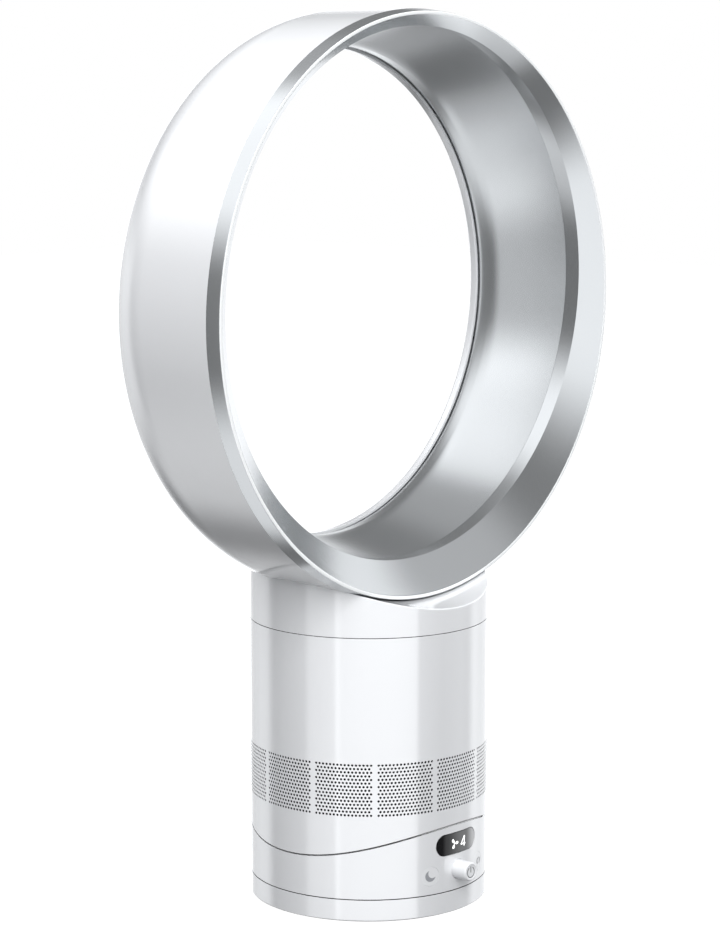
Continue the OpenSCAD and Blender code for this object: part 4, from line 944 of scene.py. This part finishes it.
class FAN_OT_silver(bpy.types.Operator):
    """Turn the silver bezel with its strip, flare and guide band, and the inner casing behind it"""
    bl_idname = "fan.silver"
    bl_label = "Silver bezel and inner casing"

    def foil(self, sizes, radius, fall, steps):
        """Rings from the start of the inner casing to its throat."""
        for k in range(steps + 1):
            place = k / steps
            yield loop_ring(sizes, (radius - fall * airfoil_height(place)) * MM,
                            FOIL_START + (FOIL_THROAT - FOIL_START) * place,
                            (FOIL_RISE - FOIL_DROP * place) * MM, FOIL_LEAN * (1 - place))

    def execute(self, context):
        s = context.scene.fan_sizes
        r, edge = s.loop_radius, s.strip_back - STRIP_GAP
        rings = [loop_ring(s, r - STRIP_INSET, edge)]
        rings += [loop_ring(s, r - inset * MM, s.loop_front + y * MM, rise * MM)
                  for inset, y, rise in BEZEL_RIM]
        rings += [loop_ring_mm(s, *[start + run * place
                                    for start, run in zip(FLARE_START, FLARE_RUN)])
                  for place in (0.1, 0.3, 0.5, 0.7, 0.9, 1.0)]
        rings += [loop_ring_mm(s, *ring) for ring in GUIDE_BAND]
        rings.append(loop_ring(s, STRIP_INNER, edge))
        bezel = turned("front_bezel_skin", rings, LOOP_SIDES, "Y")
        smooth(bezel, 25)
        dress(bezel, "bezel_silver", "loop", "silver_satin", "front_bezel")

        rings = list(self.foil(s, *FOIL_AIR))
        rings += [loop_ring(s, radius * MM, FOIL_THROAT + y * MM, rise * MM)
                  for radius, y, rise in FOIL_TAIL]
        rings += [loop_ring(s, radius * MM, y, REAR_RISE) for radius, y in FOIL_TIP]
        rings += reversed(list(self.foil(s, *FOIL_BACK)))
        inner = turned("inner_casing_skin", rings, LOOP_SIDES, "Y")
        smooth(inner, 40)
        dress(inner, "satin_silver", "loop", "silver_satin", "inner_casing")
        return {"FINISHED"}


# Controls

SIGN_THICK, SIGN_PROUD, SIGN_STEP = 0.05 * MM, 0.03 * MM, 0.5 * MM
GLASS_THICK, GLASS_SUNK = 2.3 * MM, 0.1 * MM
# The flange behind the window's edge: how much larger it is, how far lower, how thick
FLANGE_WIDER, FLANGE_TALLER, FLANGE_DROP = 2 * MM, 1.4 * MM, 0.3 * MM
FLANGE_THICK, FLANGE_STEP = 0.9 * MM, 2 * MM
# The lit fan, left of the middle, and the lit 4, right of it, both a little low
SIGN_DROP = 0.3 * MM
FAN_BLADES, FAN_SIGN_X, FAN_TURN = 3, -3.3 * MM, 5
BLADE_LONG, BLADE_WIDE, BLADE_OUT, HUB_RADIUS = 2.6 * MM, 1.75 * MM, 2.1 * MM, 0.55 * MM
FOUR_SIGN_X = 4.8 * MM
# Bars of the 4, in millimetres about its middle: width, height, place aside and above, and
# turn in degrees
FOUR_BARS = {"four_stem": (0.8, 6.6, 1.2, 0, 4), "four_bar": (4.8, 0.75, 0, -1.6, 0),
             "four_slant": (0.75, 6.0, -0.45, 0.8, 34)}
# The knob's skirt ends this far inside the shell. Its face is dished inside a round edge:
# inwards from its radius and back from its front, in millimetres
KNOB_SEAT, KNOB_CHAMFER, STEM_RADIUS = 3.4 * MM, 0.3 * MM, 1.6 * MM
KNOB_EDGE = ((0, 1.0), (0.12, 0.55), (0.45, 0.18), (0.95, 0), (1.3, 0.06), (1.6, 0.26))
DISH_INSET, DISH = 1.85 * MM, 0.38 * MM
DISH_MIDDLE, DISH_DEEPEST = 0.8 * MM, 0.45 * MM
POWER_RADIUS, POWER_LINE, POWER_BAR = 3.2 * MM, 0.6 * MM, 3.9 * MM
POWER_RING_DROP, POWER_BAR_RISE, POWER_OPENING = 0.3 * MM, 1.5 * MM, 30
CAP_THICK, BUTTON_ROUND, ROUND_WITHIN = 3.0 * MM, 0.1 * MM, 0.02 * MM
# The button's flange: how far behind its front, and how far behind the shell's edge there
BUTTON_STEM_RADIUS, FLANGE_BACK, FLANGE_CLEAR, BUTTON_FLANGE = (
    1.5 * MM, 4 * MM, 3.2 * MM, 1 * MM)
MOON_RADIUS, MOON_RISE, MOON_DEPTH = 3.5 * MM, 0.2 * MM, 1 * MM
SHADE_RADIUS, SHADE_ASIDE, SHADE_RISE, SHADE_DEPTH = 3.0 * MM, 1.5 * MM, 1.8 * MM, 4 * MM
SWEEP_RADIUS, SWEEP_ASIDE, SWEEP_BROAD, SWEEP_FINE = 2.0 * MM, 1.9 * MM, 1.0 * MM, 0.8 * MM


def sign(name, body, finish_name, slot, parts, radius, proud=SIGN_PROUD):
    """Joins flat shapes into one thin sign on a cylinder of that radius, or flat without one."""
    for part in parts:
        if radius is not None:
            lay_on(part, radius + proud, SIGN_STEP)
        draw_back(part, proud + SIGN_THICK)
    dress(joined(name, *parts), finish_name, body, slot)


class FAN_OT_window(bpy.types.Operator):
    """Bend the dark display window to the shell, with its lit signs"""
    bl_idname = "fan.window"
    bl_label = "Display window"

    def execute(self, context):
        s = context.scene.fan_sizes
        radius = s.body_radius - GLASS_SUNK
        glass = curved_block(
            pill("window_face", s.window_width - 2 * WINDOW_GAP, s.window_tall - 2 * WINDOW_GAP,
                 0, s.window_middle, steps=24), radius, GLASS_THICK)
        flange = curved_block(
            pill("window_flange", s.window_width + FLANGE_WIDER, s.window_tall + FLANGE_TALLER,
                 0, s.window_middle - FLANGE_DROP, steps=12),
            s.body_radius - s.wall - WINDOW_GAP, FLANGE_THICK, FLANGE_STEP)
        window = joined("display_window", glass, flange)
        smooth(window, 30)
        dress(window, "window_glass", "base", "dark_lens", "display_lens")
        x, z = FAN_SIGN_X, s.window_middle - SIGN_DROP
        blade = pill("blade", BLADE_LONG, BLADE_WIDE, 0, 0, 0, steps=8)
        blades = []
        for k in range(FAN_BLADES):
            turn = math.radians(FAN_TURN + 360 / FAN_BLADES * k)
            outwards = Vector((math.cos(turn), 0, math.sin(turn)))
            blades.append(copied(blade, "fan_blade", Vector((x, FRONT, z)) + BLADE_OUT * outwards,
                                 (0, -turn, 0)))
        bpy.data.objects.remove(blade)
        blades.append(disc("fan_hub", HUB_RADIUS, x, z, sides=24))
        sign("fan_sign", "base", "lit_sign", "dark_lens", blades, radius)
        bars = [pill(name, width * MM, height * MM, FOUR_SIGN_X + aside * MM, z + above * MM,
                     turn=math.radians(turn), steps=2)
                for name, (width, height, aside, above, turn) in FOUR_BARS.items()]
        sign("four_sign", "base", "lit_sign", "dark_lens", bars, radius)
        return {"FINISHED"}


class FAN_OT_knob(bpy.types.Operator):
    """Turn the knob with its dished face and print its sign"""
    bl_idname = "fan.knob"
    bl_label = "Knob"

    def execute(self, context):
        s = context.scene.fan_sizes
        r, z, face, back = s.knob_radius, s.knob_height, KNOB_LOW.y, KNOB_HIGH.y
        middle = -s.body_radius + KNOB_SEAT
        rings = [(STEM_RADIUS, back), (STEM_RADIUS, middle), (r - KNOB_CHAMFER, middle),
                 (r, middle - KNOB_CHAMFER)]
        rings += [(r - inset * MM, face + depth * MM) for inset, depth in KNOB_EDGE]
        rings += [(r - DISH_INSET, face + DISH), (DISH_MIDDLE, face + DISH_DEEPEST)]
        knob = turned("control_knob_skin", [(radius, (0, y, z)) for radius, y in rings],
                      96, "Y", closed=False)
        smooth(knob, 50)
        dress(knob, "satin_white", "knob", "white_satin", "control_knob")
        parts = [arc("power_ring", POWER_RADIUS, POWER_LINE, 0, z - POWER_RING_DROP, face + DISH,
                     lambda angle: abs(angle - 90) > POWER_OPENING),
                 pill("power_bar", POWER_LINE, POWER_BAR, 0, z + POWER_BAR_RISE, face + DISH,
                      steps=4)]
        sign("power_sign", "knob", "printed_dark", "white_satin", parts, None, proud=0.0)
        return {"FINISHED"}


class FAN_OT_buttons(bpy.types.Operator):
    """Make the two flush buttons with their printed signs"""
    bl_idname = "fan.buttons"
    bl_label = "Buttons"

    def execute(self, context):
        s = context.scene.fan_sizes
        radius, z, shell = s.button_radius, s.button_height, s.body_radius - 0.05 * MM

        def forward(x):
            """How far forward the shell reaches at that place to the side."""
            return math.sqrt(shell ** 2 - x ** 2)
        for side, name in ((-1, "sleep_button"), (1, "osc_button")):
            x = side * s.button_side
            low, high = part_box(name)
            cap = curved_block(disc("button_cap", radius, x, z, sides=96), shell, CAP_THICK)
            flange = max(low.y + FLANGE_BACK, FLANGE_CLEAR - forward(abs(x) - radius))
            stem = turned("button_stem", [
                (BUTTON_STEM_RADIUS, (x, high.y, z)),
                (BUTTON_STEM_RADIUS, (x, flange + BUTTON_FLANGE, z)),
                (radius, (x, flange + BUTTON_FLANGE, z)),
                (radius, (x, flange, z))], 48, "Y", closed=False)
            button = joined(name + "_cap", cap, stem)
            round_edges(button, lambda co: abs(away(co) - shell) < ROUND_WITHIN
                        and abs(math.hypot(co.x - x, co.z - z) - radius) < ROUND_WITHIN,
                        BUTTON_ROUND)
            smooth(button, 40)
            dress(button, "gloss_white", name, "white_satin", name)
        x = -s.button_side
        moon = disc("moon", MOON_RADIUS, x, z + MOON_RISE, sides=64)
        shade = disc("helper_shade", SHADE_RADIUS, x + SHADE_ASIDE, z + SHADE_RISE,
                     FRONT - MOON_DEPTH, 64)
        draw_back(moon, MOON_DEPTH)
        draw_back(shade, SHADE_DEPTH)
        cut_away(moon, shade)
        edit(moon)
        select_where(moon, "FACE", lambda face: face.calc_center_median().y > FRONT + TOUCH)
        bpy.ops.mesh.delete(type="FACE")
        done()
        sign("moon_sign", "sleep_button", "printed_grey", "white_satin", [moon], shell)
        x = s.button_side + SWEEP_ASIDE
        parts = [arc("sweep_left", SWEEP_RADIUS, SWEEP_BROAD, x, z, FRONT,
                     lambda angle: angle > 115 or angle < -125),
                 arc("sweep_right", SWEEP_RADIUS, SWEEP_FINE, x, z, FRONT,
                     lambda angle: -60 < angle < 75)]
        sign("sweep_sign", "osc_button", "printed_dark", "white_satin", parts, shell)
        return {"FINISHED"}


class FAN_OT_finishes(bpy.types.Operator):
    """Give every CAD piece the finish of its kind"""
    bl_idname = "fan.finishes"
    bl_label = "Finishes of the inner pieces"

    def execute(self, context):
        other_names = {
            "white_gloss": "gloss_white", "silver_satin": "satin_silver",
            "white_satin": "satin_white", "dark_lens": "window_glass",
            "ivory_plastic": "natural_plastic", "steel": "zinc_steel",
            "board_green": "circuit_green", "copper": "copper_wire", "foam": "open_foam"}
        for part in frame["record"]["subparts"]:
            kind = part["material_slot"]
            kind = other_names.get(kind, kind)
            # The spacers in the slot take a painted shade
            if part["node"] == "slot_spacers":
                kind = "deep_silver"
            for slot in frame["nodes"][part["node"]].material_slots:
                slot.material = finish(kind)
        return {"FINISHED"}


# Studio

# Lit panels that gloss reflects, in degrees: turn from the camera, half width, soft edge,
# height, half height, soft edge; and strength
PANELS = (
    (8, 40, 3, -9, 34, 11, 1.15),
    (-45, 17, 4, -4, 42, 12, 0.68),
    (-84, 42, 14, 48, 26, 12, 1.3),
    (-92, 42, 12, -50, 20, 12, 0.95),
    (180, 70, 20, 68, 20, 6, 0.25),
    (-124, 14, 8, -8, 18, 8, 1.1),
    (-158, 20, 6, -8, 18, 8, 0.8),
    (180, 18, 8, -6, 18, 8, 0.9),
    (-172, 14, 8, -36, 14, 8, 0.5),
    (141, 24, 8, -10, 44, 12, 1.05),
    (98, 30, 12, 40, 12, 8, 0.4),
    (101, 26, 10, -50, 16, 10, 0.8),
    (110, 18, 12, -6, 20, 8, 0.42),
    (64, 15, 3, -6, 24, 8, -0.15),
)
# Softboxes: property with the power, width, height, turn from the camera, distance from the
# fan's axis, height above the floor and the height that it is aimed at
SOFTBOXES = (
    ("main_light", 1.6, 1.6, 2, 2.0, 1.6, 0.27),
    ("top_light", 1.2, 1.2, 0, 0.1, 1.9, 0.37),
    ("side_light", 1.0, 1.6, 60, 0.5, 1.7, 0.2),
)
WHITE = (1, 1, 1, 1)
ROOM_TINT = (0.975, 0.99, 1.01, 1)
# Heights in degrees between which the even light goes from its value below to that above
AMBIENT_FROM, AMBIENT_TO = -10, 60
# The floor's width in metres, its tones for the light on the fan, and for the camera its glow
# and the tone that takes the shadow
FLOOR_SIZE, FLOOR_TONES, FLOOR_GLOW, SHADOW_TONE = 9, (0.16, 0.18), 0.9, 0.25
# The camera's film in millimetres, and where it begins to see in metres
FILM_WIDTH, SEES_FROM = 36, 0.05


def grey(level):
    return (level, level, level, 1)


def rotation_to(place, aim):
    """How a camera or lamp at that place is turned to look at the aim."""
    return (aim - place).to_track_quat("-Z", "Y").to_euler()


class FAN_OT_studio(bpy.types.Operator):
    """Set up the camera, floor, world and softboxes"""
    bl_idname = "fan.studio"
    bl_label = "Studio"

    def softbox(self, name, power, width, height, place, aim):
        pick_nothing()
        bpy.ops.object.light_add(type="AREA", location=place)
        lamp = bpy.context.object
        lamp.name = name
        lamp.data.shape = "RECTANGLE"
        lamp.data.size, lamp.data.size_y = width, height
        lamp.data.energy = power
        lamp.visible_glossy = False
        lamp.rotation_euler = rotation_to(place, aim)

    def floor(self):
        """White for the camera where no shadow falls, and grey for the light on the fan."""
        pick_nothing()
        bpy.ops.mesh.primitive_plane_add(size=FLOOR_SIZE)
        plane = named("studio_floor")
        material = bpy.data.materials.new("floor_white")
        material.use_nodes = True
        tree = material.node_tree
        place = add_node(tree, "TexCoord", {}).outputs["Object"]
        paper = add_node(tree, "TexNoise", {"Vector": place, "Scale": 3.0})
        tone = add_node(tree, "ValToRGB", {"Fac": paper.outputs["Fac"]})
        for stop, level in zip(tone.color_ramp.elements, FLOOR_TONES):
            stop.color = grey(level)
        shader = tree.nodes["Principled BSDF"]
        fill_inputs(tree, shader, {
            "Base Color": tone.outputs["Color"], "Roughness": 0.9, "Specular IOR Level": 0.0})
        glow = add_node(tree, "Emission", {"Strength": FLOOR_GLOW})
        pale = add_node(tree, "BsdfDiffuse", {"Color": grey(SHADOW_TONE)})
        both = add_node(tree, "AddShader", {0: glow.outputs[0], 1: pale.outputs[0]})
        rays = add_node(tree, "LightPath", {})
        mix = add_node(tree, "MixShader", {
            0: rays.outputs["Is Camera Ray"], 1: shader.outputs[0], 2: both.outputs[0]})
        fill_inputs(tree, tree.nodes["Material Output"], {"Surface": mix.outputs[0]})
        plane.data.materials.append(material)
        plane.visible_glossy = False

    def world(self, context, view):
        """White for the camera, even light for matt surfaces, lit panels for glossy ones."""
        studio = context.scene.fan_studio
        world = bpy.data.worlds.new("studio_world")
        context.scene.world = world
        world.use_nodes = True
        world.cycles.sampling_method = "NONE"
        tree = world.node_tree

        def calculated(operation, *values):
            node = add_node(tree, "Math", dict(enumerate(values)), operation=operation)
            return node.outputs[0]

        def inside(value, middle, half, soft):
            """Falls smoothly from 1 to 0 at the edge of a stretch of angles, in degrees."""
            distance = calculated("ABSOLUTE", calculated("SUBTRACT", value, middle))
            return add_node(tree, "MapRange", {
                "Value": distance, "From Min": math.radians(half + soft),
                "From Max": math.radians(half - soft)}, interpolation_type="SMOOTHSTEP").outputs[
                    "Result"]

        def choose(flag, no, yes):
            return add_node(tree, "Mix", {"Factor": flag, "A": no, "B": yes}).outputs["Result"]
        direction = add_node(tree, "TexCoord", {}).outputs["Generated"]
        parts = add_node(tree, "SeparateXYZ", {0: direction})
        turn = calculated("ARCTAN2", parts.outputs["Y"], parts.outputs["X"])
        rise = calculated("ARCSINE", parts.outputs["Z"])
        total = studio.dim_room
        for panel_turn, half_width, soft, height, half_height, soft_high, strength in PANELS:
            wrapped = calculated("WRAP", calculated(
                "SUBTRACT", turn, view + math.radians(panel_turn)), math.pi, -math.pi)
            shape = calculated(
                "MULTIPLY", inside(wrapped, 0.0, half_width, soft),
                inside(rise, math.radians(height), half_height, soft_high))
            total = calculated("ADD", total, calculated("MULTIPLY", shape, strength))
        overhead = add_node(tree, "MapRange", {
            "Value": rise, "From Min": math.radians(AMBIENT_FROM),
            "From Max": math.radians(AMBIENT_TO), "To Min": studio.ambient,
            "To Max": studio.ambient_top}).outputs["Result"]
        rays = add_node(tree, "LightPath", {})
        level = choose(rays.outputs["Is Glossy Ray"], overhead, total)
        level = choose(rays.outputs["Is Camera Ray"], level, 1.0)
        level = choose(rays.outputs["Is Transmission Ray"], level, 1.0)
        fill_inputs(tree, tree.nodes["Background"], {
            "Strength": level,
            "Color": blended(tree, rays.outputs["Is Camera Ray"], ROOM_TINT, WHITE)})

    def execute(self, context):
        studio = context.scene.fan_studio
        place, aim = Vector(studio.camera_place), Vector(studio.camera_aim)
        pick_nothing()
        bpy.ops.object.camera_add(location=place)
        camera = bpy.context.object
        camera.name = "studio_camera"
        camera.rotation_euler = rotation_to(place, aim)
        camera.data.sensor_width = FILM_WIDTH
        camera.data.lens = studio.camera_lens
        camera.data.clip_start = SEES_FROM
        context.scene.camera = camera
        view = math.atan2(place.y - aim.y, place.x - aim.x)
        self.floor()
        self.world(context, view)
        for light, width, tall, turn, distance, height, aim_height in SOFTBOXES:
            angle = view + math.radians(turn)
            self.softbox(
                light.replace("light", "softbox"), getattr(studio, light), width, tall,
                Vector((distance * math.cos(angle), distance * math.sin(angle), height)),
                Vector((0, 0, aim_height)))
        context.scene.view_settings.view_transform = "Standard"
        return {"FINISHED"}


class FAN_PT_panel(bpy.types.Panel):
    """Lists what builds the fan"""
    bl_idname = "FAN_PT_panel"
    bl_label = "Desk fan"
    bl_space_type = "VIEW_3D"
    bl_region_type = "UI"
    bl_category = "Desk fan"

    def draw(self, context):
        for group in ("fan_sizes", "fan_colours", "fan_studio"):
            settings = getattr(context.scene, group)
            box = self.layout.box()
            for key in settings.bl_rna.properties.keys():
                if key not in ("rna_type", "name"):
                    box.prop(settings, key)
        for operator in STEPS:
            self.layout.operator(operator.bl_idname)


GROUPS = (("fan_sizes", FanSizes), ("fan_colours", FanColours), ("fan_studio", FanStudio))
STEPS = (FAN_OT_studio, FAN_OT_finishes, FAN_OT_foot, FAN_OT_base, FAN_OT_window, FAN_OT_knob,
         FAN_OT_buttons, FAN_OT_body, FAN_OT_neck, FAN_OT_loop_casing, FAN_OT_silver)


def register():
    for name, group in GROUPS:
        bpy.utils.register_class(group)
        setattr(bpy.types.Scene, name, bpy.props.PointerProperty(type=group))
    for operator in STEPS:
        bpy.utils.register_class(operator)
    bpy.utils.register_class(FAN_PT_panel)


def unregister():
    bpy.utils.unregister_class(FAN_PT_panel)
    for operator in reversed(STEPS):
        bpy.utils.unregister_class(operator)
    for name, group in reversed(GROUPS):
        delattr(bpy.types.Scene, name)
        bpy.utils.unregister_class(group)


def main():
    register()
    bpy.ops.fan.studio()
    bpy.ops.fan.finishes()
    bpy.ops.fan.foot()
    bpy.ops.fan.base()
    bpy.ops.fan.window()
    bpy.ops.fan.knob()
    bpy.ops.fan.buttons()
    bpy.ops.fan.body()
    bpy.ops.fan.neck()
    bpy.ops.fan.loop_casing()
    bpy.ops.fan.silver()
    pick_nothing()


if __name__ == "__main__":
    main()
